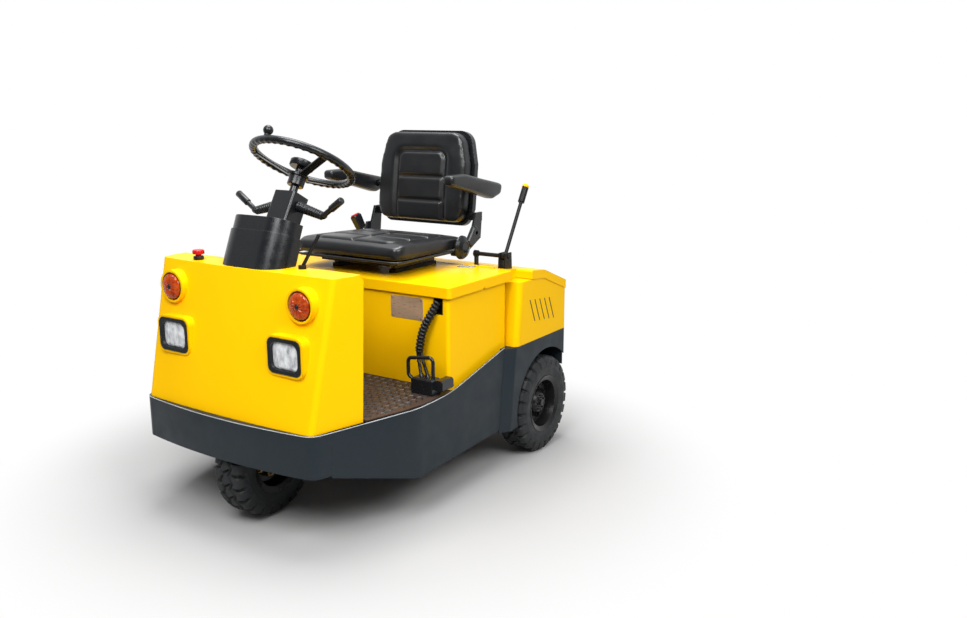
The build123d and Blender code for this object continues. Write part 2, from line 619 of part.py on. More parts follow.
# Rear axle with its gear case, and the motor block ahead of it
AXLE_TUBE_R = 38.0
GEAR_CASE_R = 95.0
MOTOR_R = 85.0
MOTOR_LEN = 220.0
STUB_END_Y = REAR_TYRE_OUT_Y - half + 26
TUBE_END_Y = REAR_TYRE_OUT_Y - TYRE_W - 6
with BuildPart() as rear_axle:
    for reach, radius in ((STUB_END_Y, AXLE_STUB_R), (TUBE_END_Y, AXLE_TUBE_R), (60, GEAR_CASE_R)):
        rod((REAR_WHEEL_X, -reach, TYRE_R), (REAR_WHEEL_X, reach, TYRE_R), radius)
    for side in (-1, 1):
        slab(REAR_WHEEL_X - 45, REAR_WHEEL_X + 45, side * (RAIL_Y0 + 5), side * (RAIL_Y1 - 5), TYRE_R, RAIL_LOW_Z)
keep("rear_axle", rear_axle)

with BuildPart() as traction_motor:
    case_x = REAR_WHEEL_X + GEAR_CASE_R
    rod((case_x - 30, 0, TYRE_R), (case_x + MOTOR_LEN, 0, TYRE_R), MOTOR_R)
    with Locations((ax(REAR_WHEEL_X), 0, TYRE_R)):
        Cylinder(GEAR_CASE_R, 4 * MOTOR_R, rotation=(90, 0, 0), mode=Mode.SUBTRACT)
keep("traction_motor", traction_motor)

# Battery box with rounded front corners, a notch for the lead, and the battery block
with BuildPart() as battery_box:
    box_h = LID_Z - PAN_Z
    extrude(front_rounded(BOX_REAR_X, BOX_FRONT_X, BOX_Y, PAN_Z - SHEET, BOX_ROUND), amount=box_h)
    extrude(front_rounded(BOX_REAR_X + SHEET, BOX_FRONT_X - SHEET, BOX_Y - SHEET, PAN_Z - SHEET, BOX_ROUND - SHEET),
            amount=box_h, mode=Mode.SUBTRACT)
    lead_y, lead_z = CONDUIT_ROUTE[0][1:]
    slab(BOX_FRONT_X - 2 * SHEET, BOX_FRONT_X + 1, lead_y - 20, lead_y + 20, lead_z - 48, LID_Z, Mode.SUBTRACT)
keep("battery_box", battery_box)

with BuildPart() as battery_pack:
    slab(BOX_REAR_X + 14, BOX_FRONT_X - 22, -BOX_Y + 20, BOX_Y - 20, PAN_Z, LID_Z - 60)
keep("battery_pack", battery_pack)

# Lid: folded sheet with rounded front corners, hinge knuckles at the back
KNUCKLES = [(262, 332), (336, 406)]
LID_ROUND = BOX_ROUND + 2
with BuildPart() as battery_lid:
    extrude(front_rounded(LID_REAR_X, LID_FRONT_X, LID_Y, LID_Z - LID_FLANGE, LID_ROUND), amount=LID_FLANGE)
    fillet(battery_lid.edges().group_by(Axis.Z)[-1].sort_by(Axis.X)[1:], 4)
    extrude(front_rounded(LID_REAR_X - 20, LID_FRONT_X - SHEET, LID_Y - SHEET, LID_Z - LID_FLANGE, LID_ROUND - SHEET),
            amount=LID_FLANGE - SHEET, mode=Mode.SUBTRACT)
    for side in (-1, 1):
        y0, y1 = (side * y for y in KNUCKLES[0])
        rod((HINGE_X, y0, LID_Z), (HINGE_X, y1, LID_Z), HINGE_R)
        slab(HINGE_X, LID_REAR_X + 1, y0, y1, LID_Z - 2, LID_Z)
    slab(BOX_FRONT_X - 218, BOX_FRONT_X - 202, LID_Y - 2 * SHEET, LID_Y + 1, LID_Z - LID_FLANGE - 1,
         LID_Z - LID_FLANGE + 6, Mode.SUBTRACT)
keep("battery_lid", battery_lid)


# Rear fenders: slanted front, rounded corner, five slanted louvres
def fender_sketch(z, front, inset, low_y):
    with BuildSketch(Plane.XY.offset(z)) as outline:
        out_y = FENDER_Y - inset
        rear = FENDER_REAR_X - 3 * inset
        with BuildLine() as edge:
            Polyline((ax(rear), low_y), (ax(front - inset), low_y), (ax(front - inset), out_y), (ax(rear), out_y), close=True)
        make_face(edge.edges())
        fillet(outline.vertices().group_by(Axis.Y)[-1].sort_by(Axis.X)[-1], FENDER_ROUND - inset)
    return outline.sketch


def hood_top_z(x):
    if x >= HOOD_CREST_X:
        share = (x - HOOD_CREST_X) / (FENDER_TOP_X - HOOD_CREST_X)
        return HOOD_CREST_Z + share * (HOOD_FRONT_Z - HOOD_CREST_Z)
    share = (HOOD_CREST_X - x) / (HOOD_CREST_X - FENDER_REAR_X)
    return HOOD_CREST_Z + share * (HOOD_REAR_Z - HOOD_CREST_Z)


def hood_profile(front, drop):
    rear = FENDER_REAR_X - 1
    stations = (front, HOOD_CREST_X, rear)
    return [(px, hood_top_z(px) - drop) for px in stations]


LOUVRES = 5
LOUVRE_FRONT_X = 106.0
LOUVRE_PITCH = 38.5
LOUVRE_Z = FENDER_SEAM_Z + 169
LOUVRE_FALL = 4.0
LOUVRE_H = 92.0
LOUVRE_LEAN = 41.0
LOUVRE_W = 7.0
with BuildPart() as fender_left:
    lean = (FENDER_LOW_X - FENDER_TOP_X) / (FENDER_TOP_Z - FENDER_SEAM_Z)
    loft([
        fender_sketch(FENDER_SEAM_Z, FENDER_LOW_X, 0, HOOD_NECK_Y),
        fender_sketch(FENDER_TOP_Z, FENDER_TOP_X, 0, HOOD_NECK_Y),
    ], ruled=True)
    loft([
        fender_sketch(FENDER_SEAM_Z, FENDER_LOW_X, SHEET, HOOD_NECK_Y - 9),
        fender_sketch(FENDER_TOP_Z - SHEET, FENDER_TOP_X + lean * SHEET, SHEET, HOOD_NECK_Y - 9),
    ], ruled=True, mode=Mode.SUBTRACT)
    seam = hood_profile(HOOD_STEP_X, HOOD_SKIRT_H)
    side_prism(seam + [(FENDER_REAR_X - 9, LID_Z), (HOOD_STEP_X, LID_Z)], HOOD_NECK_Y - 5, FENDER_Y + 5, Mode.SUBTRACT)
    for slot in range(LOUVRES):
        top_x = LOUVRE_FRONT_X - slot * LOUVRE_PITCH
        top_z = LOUVRE_Z - slot * LOUVRE_FALL
        low_x = top_x - LOUVRE_LEAN
        low_z = top_z - LOUVRE_H
        side_prism([(top_x, top_z), (low_x, low_z), (low_x - LOUVRE_W, low_z), (top_x - LOUVRE_W, top_z)],
                   FENDER_Y - 2 * SHEET, FENDER_Y + 1, Mode.SUBTRACT)
keep("fender_left", fender_left)
keep_mirrored("fender_right", fender_left)


# Arch panels: grey lower fender that turns in to the skirt, cut round the wheel
def arch_ribbon(z, front, skirt_rear):
    with BuildSketch(Plane.XY.offset(z)) as outline:
        with BuildLine() as edge:
            loop = [(FENDER_REAR_X, FENDER_Y), (front, FENDER_Y), (skirt_rear, SKIRT_Y), (skirt_rear, SKIRT_IN_Y),
                    (front - SHEET / 2, FENDER_Y - SHEET), (FENDER_REAR_X, FENDER_Y - SHEET)]
            Polyline([(ax(px), py) for px, py in loop], close=True)
        make_face(edge.edges())
        fillet(outline.vertices().group_by(Axis.Y)[-2].sort_by(Axis.X)[-1], FENDER_ROUND - SHEET)
        fillet(outline.vertices().group_by(Axis.Y)[-1].sort_by(Axis.X)[-1], FENDER_ROUND)
    return outline.sketch


with BuildPart() as arch_panel_left:
    loft([
        arch_ribbon(SKIRT_LOW_Z, ARCH_LOW_X, SKIRT_REAR_LOW_X + 1),
        arch_ribbon(FENDER_SEAM_Z, FENDER_LOW_X, SKIRT_REAR_TOP_X),
    ], ruled=True)
    cap = [(BOX_REAR_X, BOX_Y), (SKIRT_REAR_TOP_X, BOX_Y), (SKIRT_REAR_TOP_X, SKIRT_Y - 2), (FENDER_LOW_X, FENDER_Y - SHEET),
           (FENDER_REAR_X + SHEET, FENDER_Y - 1), (FENDER_REAR_X + SHEET, RAIL_Y1), (BOX_REAR_X, RAIL_Y1)]
    plan_prism(cap, FENDER_SEAM_Z - SHEET, FENDER_SEAM_Z)
    liner_x = FENDER_REAR_X + SHEET
    slab(liner_x, BOX_REAR_X, RAIL_Y1, RAIL_Y1 + SHEET, PAN_Z, FENDER_SEAM_Z)
    with Locations((ax(REAR_WHEEL_X - ARCH_SHIFT), FENDER_Y, TYRE_R)):
        Cylinder(ARCH_R, 80, rotation=(90, 0, 0), mode=Mode.SUBTRACT)
    slab(liner_x, liner_x + SHEET, RAIL_Y1, FENDER_Y - SHEET, WELL_LOW_Z, FENDER_SEAM_Z)
keep("arch_panel_left", arch_panel_left)
keep_mirrored("arch_panel_right", arch_panel_left)

# Rear hood: wide shell behind a narrower neck that runs up to the lid
with BuildPart() as rear_hood:
    shell = hood_profile(HOOD_STEP_X, 0) + list(reversed(hood_profile(HOOD_STEP_X, HOOD_SKIRT_H + 1)))
    side_prism(shell, -HOOD_Y, HOOD_Y)
    top_edges = rear_hood.edges().filter_by(Axis.Y).group_by(Axis.Z)[-1]
    fillet(top_edges, 9)
    hollow = hood_profile(HOOD_STEP_X - SHEET, SHEET) + list(reversed(hood_profile(HOOD_STEP_X - SHEET, HOOD_SKIRT_H + 20)))
    side_prism(hollow, -FENDER_Y, FENDER_Y, Mode.SUBTRACT)
    front_z, step_x = hood_top_z(FENDER_TOP_X), HOOD_STEP_X - 3 * SHEET
    neck = [(FENDER_TOP_X, front_z), (step_x, hood_top_z(step_x)), (step_x, hood_top_z(step_x) - SHEET),
            (FENDER_TOP_X, front_z - SHEET)]
    side_prism(neck, -HOOD_NECK_Y, HOOD_NECK_Y)
    for side in (-1, 1):
        cheek = [(FENDER_TOP_X, front_z), (step_x, hood_top_z(step_x)), (step_x, FENDER_TOP_Z), (FENDER_TOP_X, FENDER_TOP_Z)]
        side_prism(cheek, side * (HOOD_NECK_Y - SHEET), side * HOOD_NECK_Y)
        y0, y1 = (side * y for y in KNUCKLES[1])
        rod((HINGE_X, y0, LID_Z), (HINGE_X, y1, LID_Z), HINGE_R)
        slab(FENDER_TOP_X - 1, HINGE_X, y0, y1, front_z - 2, front_z)
keep("rear_hood", rear_hood)

PANEL_TOP_Z = hood_top_z(FENDER_REAR_X) - SHEET - 2
with BuildPart() as rear_panel:
    slab(FENDER_REAR_X, FENDER_REAR_X + SHEET, -FENDER_Y + SHEET, FENDER_Y - SHEET, FENDER_SEAM_Z, PANEL_TOP_Z)
    slab(FENDER_REAR_X, FENDER_REAR_X + SHEET, -RAIL_Y1, RAIL_Y1, RAIL_LOW_Z - 20, FENDER_SEAM_Z)
keep("rear_panel", rear_panel)

# Tow hitch: two ears with a bore for the tow pin
EAR_LEVELS = [(-50, -32), (32, 50)]
with BuildPart() as tow_hitch:
    slab(FENDER_REAR_X - 12, FENDER_REAR_X, -80, 80, HITCH_Z - 80, HITCH_Z + 80)
    for low, high in EAR_LEVELS:
        slab(HITCH_X, FENDER_REAR_X, -HITCH_EAR_R, HITCH_EAR_R, HITCH_Z + low, HITCH_Z + high)
        rod((HITCH_X, 0, HITCH_Z + low), (HITCH_X, 0, HITCH_Z + high), HITCH_EAR_R)
    rod((HITCH_X, 0, HITCH_Z - 90), (HITCH_X, 0, HITCH_Z + 90), HITCH_PIN_R, Mode.SUBTRACT)
keep("tow_hitch", tow_hitch)

# Parking brake lever between two cheeks, with its cross shaft
LEVER_X = 138.0
LEVER_Y = HOOD_NECK_Y - 22
LEVER_Z = hood_top_z(LEVER_X) + 48
with BuildPart() as parking_lever:
    feet = [(LEVER_X - 26, hood_top_z(LEVER_X - 26)), (LEVER_X + 26, hood_top_z(LEVER_X + 26))]
    for y in (LEVER_Y - 16, LEVER_Y + 10):
        side_prism(feet + [(LEVER_X + 22, LEVER_Z + 14), (LEVER_X - 22, LEVER_Z + 14)], y, y + 6)
    side_prism(feet + [(px, pz + 4) for px, pz in reversed(feet)], LEVER_Y - 16, LEVER_Y + 16)
    rod((LEVER_X, LEVER_Y - 140, LEVER_Z), (LEVER_X, LEVER_Y + 20, LEVER_Z), 8)
    rod((LEVER_X, LEVER_Y - 140, LEVER_Z), (LEVER_X, LEVER_Y - 124, LEVER_Z), 13)
    post_feet = [(LEVER_X - 10, hood_top_z(LEVER_X - 10)), (LEVER_X + 10, hood_top_z(LEVER_X + 10))]
    side_prism(post_feet + [(LEVER_X + 10, LEVER_Z), (LEVER_X - 10, LEVER_Z)], LEVER_Y - 136, LEVER_Y - 128)
    rod((LEVER_X, LEVER_Y - 9, LEVER_Z), (LEVER_X, LEVER_Y + 9, LEVER_Z), 16)
    rod((LEVER_X, LEVER_Y, LEVER_Z), (LEVER_X - 118, LEVER_Y, LEVER_Z + 198), 7)
    rod((LEVER_X - 118, LEVER_Y, LEVER_Z + 198), (LEVER_X - 152, LEVER_Y, LEVER_Z + 255), 13)
keep("parking_lever", parking_lever)

# Steering wheel: rim, dropped spokes, horn cap, hub and spinner knob
wheel_plane = Plane(origin=(ax(SW_X), 0, SW_Z), x_dir=(cos(tilt), 0, sin(tilt)), z_dir=(-sin(tilt), 0, cos(tilt)))
SPOKE_ANGLES = (-62, 68, 180)
KNOB_ANGLE = radians(-6)
# Columns: radius, drop of the upper face, height
HUB_DISCS = [(42, -4, 24), (16, 20, 26), (36, 44, 11), (29, 54, HUB_DROP - 54)]
with BuildPart() as steering_wheel:
    with BuildSketch(Plane(origin=wheel_plane.origin + wheel_plane.x_dir * SW_R, x_dir=wheel_plane.x_dir,
                           z_dir=wheel_plane.y_dir)):
        RegularPolygon(SW_RIM_R, 12)
    revolve(axis=Axis(wheel_plane.origin, wheel_plane.z_dir))
    knob_foot = wheel_plane.from_local_coords(Vector(SW_R * cos(KNOB_ANGLE), SW_R * sin(KNOB_ANGLE), 0))
    with BuildSketch(Plane(origin=knob_foot, x_dir=wheel_plane.x_dir, z_dir=wheel_plane.z_dir)):
        Circle(9)
    extrude(amount=SW_RIM_R + 10)
    with Locations(knob_foot + wheel_plane.z_dir * (SW_RIM_R + 20)):
        Sphere(17)
    for radius, drop, height in HUB_DISCS:
        with BuildSketch(wheel_plane.offset(-drop)):
            Circle(radius)
        extrude(amount=-height)
    for angle in SPOKE_ANGLES:
        out = Vector(cos(radians(angle)), sin(radians(angle)), 0)
        foot = wheel_plane.from_local_coords(out * 22 + Vector(0, 0, -52))
        end = wheel_plane.from_local_coords(out * (SW_R - 2) + Vector(0, 0, -3))
        with BuildSketch(Plane(origin=foot, x_dir=wheel_plane.z_dir, z_dir=end - foot)):
            RectangleRounded(8, 28, 3)
        extrude(amount=(end - foot).length)
keep("steering_wheel", steering_wheel)

# Seat: rails on the lid, sliding pan, cushion, backrest and armrests
RAIL_Y = 140.0
SLIDE_Z = LID_Z + 13
with BuildPart() as seat_rails:
    for side in (-1, 1):
        slab(BOX_REAR_X - 4, 470, side * (RAIL_Y - 16), side * (RAIL_Y + 16), LID_Z, SLIDE_Z)
keep("seat_rails", seat_rails)

EAR_Y = CUSHION_Y + 2
EAR_T = 6.0
COVER_X = 206.0
COVER_Z = CUSHION_LOW_Z - 2
EAR_OUTLINE = [
    (RECLINE_X - 24, RECLINE_Z - 12), (RECLINE_X + 34, RECLINE_Z - 40), (RECLINE_X + 70, RECLINE_Z - 60),
    (COVER_X + 24, CUSHION_LOW_Z - 17), (COVER_X + 24, CUSHION_LOW_Z), (RECLINE_X + 66, CUSHION_LOW_Z + 4),
    (RECLINE_X + 34, RECLINE_Z + 28), (RECLINE_X - 24, RECLINE_Z + 28),
]
with BuildPart() as seat_pan:
    for side in (-1, 1):
        slab(BOX_REAR_X, 465, side * (RAIL_Y - 10), side * (RAIL_Y + 10), SLIDE_Z + 0.4, LID_Z + 32)
        side_prism(EAR_OUTLINE, side * EAR_Y, side * (EAR_Y + EAR_T))
        rod((COVER_X, side * (EAR_Y - 36), COVER_Z - 8), (COVER_X, side * (EAR_Y + EAR_T), COVER_Z - 8), 10)
        rod((RECLINE_X, side * (EAR_Y - 1), RECLINE_Z), (RECLINE_X, side * (EAR_Y + EAR_T + 2), RECLINE_Z),
            RECLINE_PIN_R + PIN_GAP, Mode.SUBTRACT)
    slab(BOX_REAR_X - 50, BOX_FRONT_X - 70, 95 - CUSHION_Y, CUSHION_Y - 95, LID_Z + 32, CUSHION_LOW_Z - 8)
    slab(BOX_REAR_X - 66, BOX_FRONT_X - 28, 25 - CUSHION_Y, CUSHION_Y - 25, CUSHION_LOW_Z - 8, CUSHION_LOW_Z)
    with BuildSketch(Plane.XZ.offset(-EAR_Y - EAR_T)):
        with Locations((ax(COVER_X), COVER_Z)):
            Circle(26)
    extrude(amount=-14, taper=25)
keep("seat_pan", seat_pan)

with BuildPart() as seat_cushion:
    side_outline = [
        (CUSHION_REAR_X, CUSHION_LOW_Z), (CUSHION_FRONT_X - 10, CUSHION_LOW_Z), (CUSHION_FRONT_X, CUSHION_LOW_Z + 27),
        (CUSHION_FRONT_X - 8, CUSHION_TOP_Z - 11), (CUSHION_FRONT_X - 50, CUSHION_TOP_Z), (CUSHION_REAR_X, CUSHION_TOP_Z - 17),
    ]
    side_prism(side_outline, -CUSHION_Y, CUSHION_Y)
    with BuildSketch(Plane.XY.offset(CUSHION_LOW_Z)) as plan:
        with Locations((ax((CUSHION_REAR_X + CUSHION_FRONT_X) / 2), 0)):
            RectangleRounded(CUSHION_FRONT_X - CUSHION_REAR_X, 2 * CUSHION_Y, 48)
    extrude(plan.sketch, amount=CUSHION_T, mode=Mode.INTERSECT)
keep("seat_cushion", seat_cushion)

lean = radians(BACK_LEAN)
back_plane = Plane(origin=(ax(BACK_X), 0, BACK_Z), x_dir=(0, 1, 0), z_dir=(cos(lean), 0, sin(lean)))
BACK_SIDE = [(206, 0), (228, 70), (224, 250), (192, BACK_H)]


def back_sketch(plane):
    with BuildSketch(plane) as outline:
        with BuildLine():
            Polyline(BACK_SIDE + [(-px, py) for px, py in reversed(BACK_SIDE)], close=True)
        make_face()
        fillet(outline.vertices().group_by(Axis.Y)[-1], 62)
        fillet(outline.vertices().group_by(Axis.Y)[0], 44)
    return outline.sketch


with BuildPart() as backrest_pad:
    extrude(back_sketch(back_plane), amount=-PAD_T)
keep("backrest_pad", backrest_pad)

STRAP_Y = CUSHION_Y + 1
with BuildPart() as backrest_shell:
    extrude(back_sketch(back_plane.offset(-PAD_T)), amount=-SHELL_T)
    for side in (-1, 1):
        strap = [(RECLINE_X - 54, RECLINE_Z + 93), (RECLINE_X - 42, RECLINE_Z - 12), (RECLINE_X + 28, RECLINE_Z - 12),
                 (RECLINE_X - 12, RECLINE_Z + 93)]
        side_prism(strap, side * (STRAP_Y - 11), side * STRAP_Y)
        slab(RECLINE_X - 53, RECLINE_X - 35, side * 190, side * STRAP_Y, RECLINE_Z + 58, RECLINE_Z + 86)
        rod((RECLINE_X, side * (STRAP_Y - 11), RECLINE_Z), (RECLINE_X, side * (EAR_Y + EAR_T + 6), RECLINE_Z), RECLINE_PIN_R)
        rod((ARM_PIVOT_X, side * 190, ARM_PIVOT_Z), (ARM_PIVOT_X, side * (ARM_IN_Y + 29), ARM_PIVOT_Z), ARM_PIN_R)
keep("backrest_shell", backrest_shell)

ARM_RISE = [(299, 74), (299, 36), (7, -42), (-55, -24), (-65, 20), (197, 76)]
ARM_OUTLINE = [(ARM_PIVOT_X + along, ARM_PIVOT_Z + up) for along, up in ARM_RISE]
with BuildPart() as armrest_left:
    side_prism(ARM_OUTLINE, ARM_IN_Y, ARM_IN_Y + ARM_W, round_r=12)
    rod((ARM_PIVOT_X, ARM_IN_Y - 7, ARM_PIVOT_Z), (ARM_PIVOT_X, ARM_IN_Y + 29.5, ARM_PIVOT_Z), ARM_PIN_R + PIN_GAP,
        Mode.SUBTRACT)
keep("armrest_left", armrest_left)
keep_mirrored("armrest_right", armrest_left)


# Battery lead: conduit, two cables, and the plug with its collars, bail and fixed half
def cord(route, radius):
    points = [placed(point) for point in route]
    bends = []
    for before, here, after in zip(points, points[1:], points[2:]):
        turn_half = (here - before).get_angle(after - here) / 2
        shorter = min((here - before).length, (after - here).length)
        bends.append(0.45 * shorter / tan(radians(turn_half)))
    with BuildLine() as path:
        FilletPolyline(*points, radius=bends)
    with BuildSketch(Plane(origin=points[0], z_dir=points[1] - points[0])) as end_face:
        Circle(radius)
    sweep(end_face.sketch, path=path.wire())
    print("cord length", round(path.wire().length, 1), "bends", [round(b) for b in bends])


with BuildPart() as battery_conduit:
    cord(CONDUIT_ROUTE, CONDUIT_R)
keep("battery_conduit", battery_conduit)

with BuildPart() as battery_cables:
    for route in CABLE_ROUTES:
        cord(route, CABLE_R)
keep("battery_cables", battery_cables)

PLUG_X0 = 632.0
PLUG_X1 = 684.0
PLUG_Y0 = 384.0
PLUG_Y1 = 474.0
PLUG_TOP_Z = FLOOR_Z + 56
BAIL_X = 664.0
BAIL_R = 6.5
with BuildPart() as battery_plug:
    slab(PLUG_X0, PLUG_X1, PLUG_Y0, PLUG_Y1, FLOOR_Z, PLUG_TOP_Z)
    chamfer(battery_plug.edges().group_by(Axis.Z)[-1], 5)
    for route in CABLE_ROUTES:
        run = (placed(route[-1]) - placed(route[-2])).normalized()
        tip = Vector(*route[-1])
        rod(tuple(tip), tuple(tip + run * 18), CABLE_R + 3)
    bail_low = PLUG_TOP_Z - 24
    bail_points = [(PLUG_Y0 + 6, bail_low), (PLUG_Y0 - 26, bail_low + 26), (PLUG_Y0 - 26, PLUG_TOP_Z + 62),
                   (PLUG_Y1 - 9, PLUG_TOP_Z + 76), (PLUG_Y1 - 9, bail_low)]
    with BuildLine() as bail_path:
        FilletPolyline(*[(ax(BAIL_X), y, z) for y, z in bail_points], radius=16)
    with BuildSketch(Plane(origin=bail_path.wire() @ 0, z_dir=bail_path.wire() % 0)) as bail_face:
        Circle(BAIL_R)
    sweep(bail_face.sketch, path=bail_path.wire())
keep("battery_plug", battery_plug)

with BuildPart() as battery_socket:
    slab(PLUG_X0 - 26, PLUG_X1 - 12, PLUG_Y1, PLUG_Y1 + 36, FLOOR_Z + 18, PLUG_TOP_Z)
    chamfer(battery_socket.edges().filter_by(Axis.X), 6)
keep("battery_socket", battery_socket)
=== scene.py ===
import json
import math

import bmesh
import bpy
import numpy as np
from mathutils import Matrix, Vector


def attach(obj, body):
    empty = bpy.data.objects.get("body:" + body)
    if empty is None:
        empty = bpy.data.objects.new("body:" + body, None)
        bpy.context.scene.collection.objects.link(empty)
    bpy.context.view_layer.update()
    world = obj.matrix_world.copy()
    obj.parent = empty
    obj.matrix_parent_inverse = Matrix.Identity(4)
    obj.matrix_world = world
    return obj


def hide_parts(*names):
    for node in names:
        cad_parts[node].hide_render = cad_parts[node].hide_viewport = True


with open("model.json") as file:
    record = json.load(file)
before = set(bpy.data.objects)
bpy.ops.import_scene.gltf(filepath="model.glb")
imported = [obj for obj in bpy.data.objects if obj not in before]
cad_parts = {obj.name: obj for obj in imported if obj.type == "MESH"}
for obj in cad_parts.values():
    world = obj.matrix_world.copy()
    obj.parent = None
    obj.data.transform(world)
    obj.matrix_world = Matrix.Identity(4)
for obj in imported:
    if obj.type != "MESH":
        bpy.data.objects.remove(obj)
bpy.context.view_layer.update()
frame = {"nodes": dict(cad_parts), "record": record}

nodes = frame["nodes"]
scene = bpy.context.scene

X, Y, Z = Vector((1, 0, 0)), Vector((0, 1, 0)), Vector((0, 0, 1))
SIDES = ((1, "left"), (-1, "right"))
REAR_MARK = 460.0
FLOOR_Z = 404.0
WHEEL_R = 196.0
SHARP_ANGLE = math.radians(40)


# P takes millimetres in the part's own measure, with X from the rear mark. The loops of stacked, the
# tyre's section and the pads' seams are in millimetres too; other lengths are in metres.
def P(x, y, z):
    return Vector(((x - REAR_MARK) / 1000.0, y / 1000.0, z / 1000.0))


def add_piece(name, mesh, look, body, smooth=True):
    piece = bpy.data.objects.new(name, mesh)
    scene.collection.objects.link(piece)
    mesh.materials.clear()
    mesh.materials.append(look.mat)
    mesh.polygons.foreach_set("use_smooth", [smooth] * len(mesh.polygons))
    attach(piece, body)
    return piece


def mesh_from(name, verts, faces):
    mesh = bpy.data.meshes.new(name)
    mesh.from_pydata([tuple(v) for v in verts], [], faces)
    mesh.validate()
    mesh.update()
    return mesh


def mesh_from_bm(name, bm):
    mesh = bpy.data.meshes.new(name)
    bmesh.ops.recalc_face_normals(bm, faces=bm.faces)
    bm.to_mesh(mesh)
    bm.free()
    return mesh


# Materials
def feed(tree, node, inputs):
    """Sets each input to a value, or links it to another node's output."""
    for key, value in inputs.items():
        if isinstance(value, bpy.types.NodeSocket):
            tree.links.new(value, node.inputs[key])
        else:
            node.inputs[key].default_value = value


def tree_node(tree, kind, inputs={}, **settings):
    node = tree.nodes.new(kind)
    for key, value in settings.items():
        setattr(node, key, value)
    feed(tree, node, inputs)
    return node


# A color mix node's sockets
MIX_SHARE, MIX_A, MIX_B, MIX_RESULT = 0, 6, 7, 2


class Look:
    """One procedural material, built up by small calls."""

    def __init__(self, name, color, rough, metal=0.0):
        self.mat = bpy.data.materials.new(name)
        self.mat.use_nodes = True
        self.tree = self.mat.node_tree
        self.bsdf = self.tree.nodes["Principled BSDF"]
        self.base = (*color, 1.0)
        self.rough = rough
        self.normal = None
        self.coords = self.new("ShaderNodeTexCoord").outputs["Object"]
        self.give({"Base Color": self.base, "Roughness": rough, "Metallic": metal})

    def new(self, kind, inputs={}, **settings):
        return tree_node(self.tree, kind, inputs, **settings)

    def give(self, inputs):
        feed(self.tree, self.bsdf, inputs)
        return self

    def set(self, **values):
        return self.give({name.replace("_", " "): value for name, value in values.items()})

    def noise(self, scale, detail=4.0, stretch=None):
        place = self.coords
        if stretch:
            place = self.new("ShaderNodeMapping", {"Scale": stretch, "Vector": place}).outputs["Vector"]
        node = self.new("ShaderNodeTexNoise", {"Scale": scale, "Detail": detail, "Vector": place})
        return node.outputs["Fac"]

    def ramp(self, value, low, high, out_low=0.0, out_high=1.0):
        ends = {"From Min": low, "From Max": high, "To Min": out_low, "To Max": out_high}
        return self.new("ShaderNodeMapRange", {"Value": value, **ends}).outputs["Result"]

    def tint(self, mask, color):
        mix = {MIX_SHARE: mask, MIX_A: self.base, MIX_B: (*color, 1.0)}
        self.base = self.new("ShaderNodeMix", mix, data_type="RGBA").outputs[MIX_RESULT]
        return self.give({"Base Color": self.base})

    def vary(self, scale, amount, color, detail=4.0, stretch=None):
        return self.tint(self.ramp(self.noise(scale, detail, stretch), 0.35, 0.72, 0.0, amount), color)

    def roughen(self, scale, spread, detail=3.0, stretch=None):
        noise = self.noise(scale, detail, stretch)
        value = self.ramp(noise, 0.3, 0.7, self.rough - spread, self.rough + spread)
        return self.give({"Roughness": value})

    def bevel(self, radius):
        self.normal = self.new("ShaderNodeBevel", {"Radius": radius}, samples=4).outputs["Normal"]
        return self.give({"Normal": self.normal})

    def edge_wear(self, color, amount, scale):
        """Chips where the bevelled normal turns away from the face's own."""
        flat = self.new("ShaderNodeNewGeometry").outputs["Normal"]
        dot = self.new("ShaderNodeVectorMath", {0: flat, 1: self.normal}, operation="DOT_PRODUCT")
        edge = self.ramp(dot.outputs["Value"], 0.985, 0.86)
        chips = self.ramp(self.noise(scale, 6.0), 0.48, 0.66, 0.0, amount)
        both = self.new("ShaderNodeMath", {0: edge, 1: chips}, operation="MULTIPLY")
        return self.tint(both.outputs[0], color)

    def bump(self, height, strength, distance):
        inputs = {"Strength": strength, "Distance": distance, "Height": height}
        if self.normal is not None:
            inputs["Normal"] = self.normal
        self.normal = self.new("ShaderNodeBump", inputs).outputs["Normal"]
        return self.give({"Normal": self.normal})

    def grain(self, scale, strength, distance=0.0006):
        return self.bump(self.noise(scale, 5.0), strength, distance)

    def cells(self, scale, strength, distance):
        node = self.new("ShaderNodeTexVoronoi", feature="DISTANCE_TO_EDGE")
        feed(self.tree, node, {"Scale": scale, "Vector": self.coords})
        return self.bump(self.ramp(node.outputs["Distance"], 0.0, 0.18), strength, distance)


paint = Look("paint_yellow", (0.99, 0.555, 0.001), 0.34).bevel(0.004)
paint.vary(2.3, 0.3, (0.93, 0.49, 0.001)).vary(38.0, 0.1, (1.0, 0.60, 0.005), 6.0)
paint.edge_wear((0.60, 0.34, 0.01), 0.4, 46.0).roughen(9.0, 0.06).grain(330.0, 0.04)
paint.set(Specular_IOR_Level=0.05)

grey = Look("paint_skirt_grey", (0.016, 0.023, 0.029), 0.46).bevel(0.004)
grey.vary(3.0, 0.4, (0.021, 0.029, 0.035)).vary(60.0, 0.2, (0.011, 0.016, 0.020), 8.0)
grey.edge_wear((0.08, 0.095, 0.105), 0.3, 34.0).roughen(14.0, 0.08).grain(420.0, 0.12)
grey.set(Specular_IOR_Level=0.2)

black_paint = Look("paint_black", (0.006, 0.006, 0.0065), 0.42).bevel(0.002)
black_paint.vary(6.0, 0.5, (0.011, 0.011, 0.010)).edge_wear((0.07, 0.066, 0.062), 0.6, 60.0)
black_paint.roughen(24.0, 0.1).grain(300.0, 0.15).set(Specular_IOR_Level=0.22)

plate = Look("checker_plate", (0.050, 0.030, 0.021), 0.5).bevel(0.001)
plate.vary(7.0, 0.55, (0.085, 0.050, 0.034)).vary(45.0, 0.35, (0.022, 0.015, 0.012), 8.0)
plate.roughen(20.0, 0.12).grain(240.0, 0.3).set(Specular_IOR_Level=0.25)

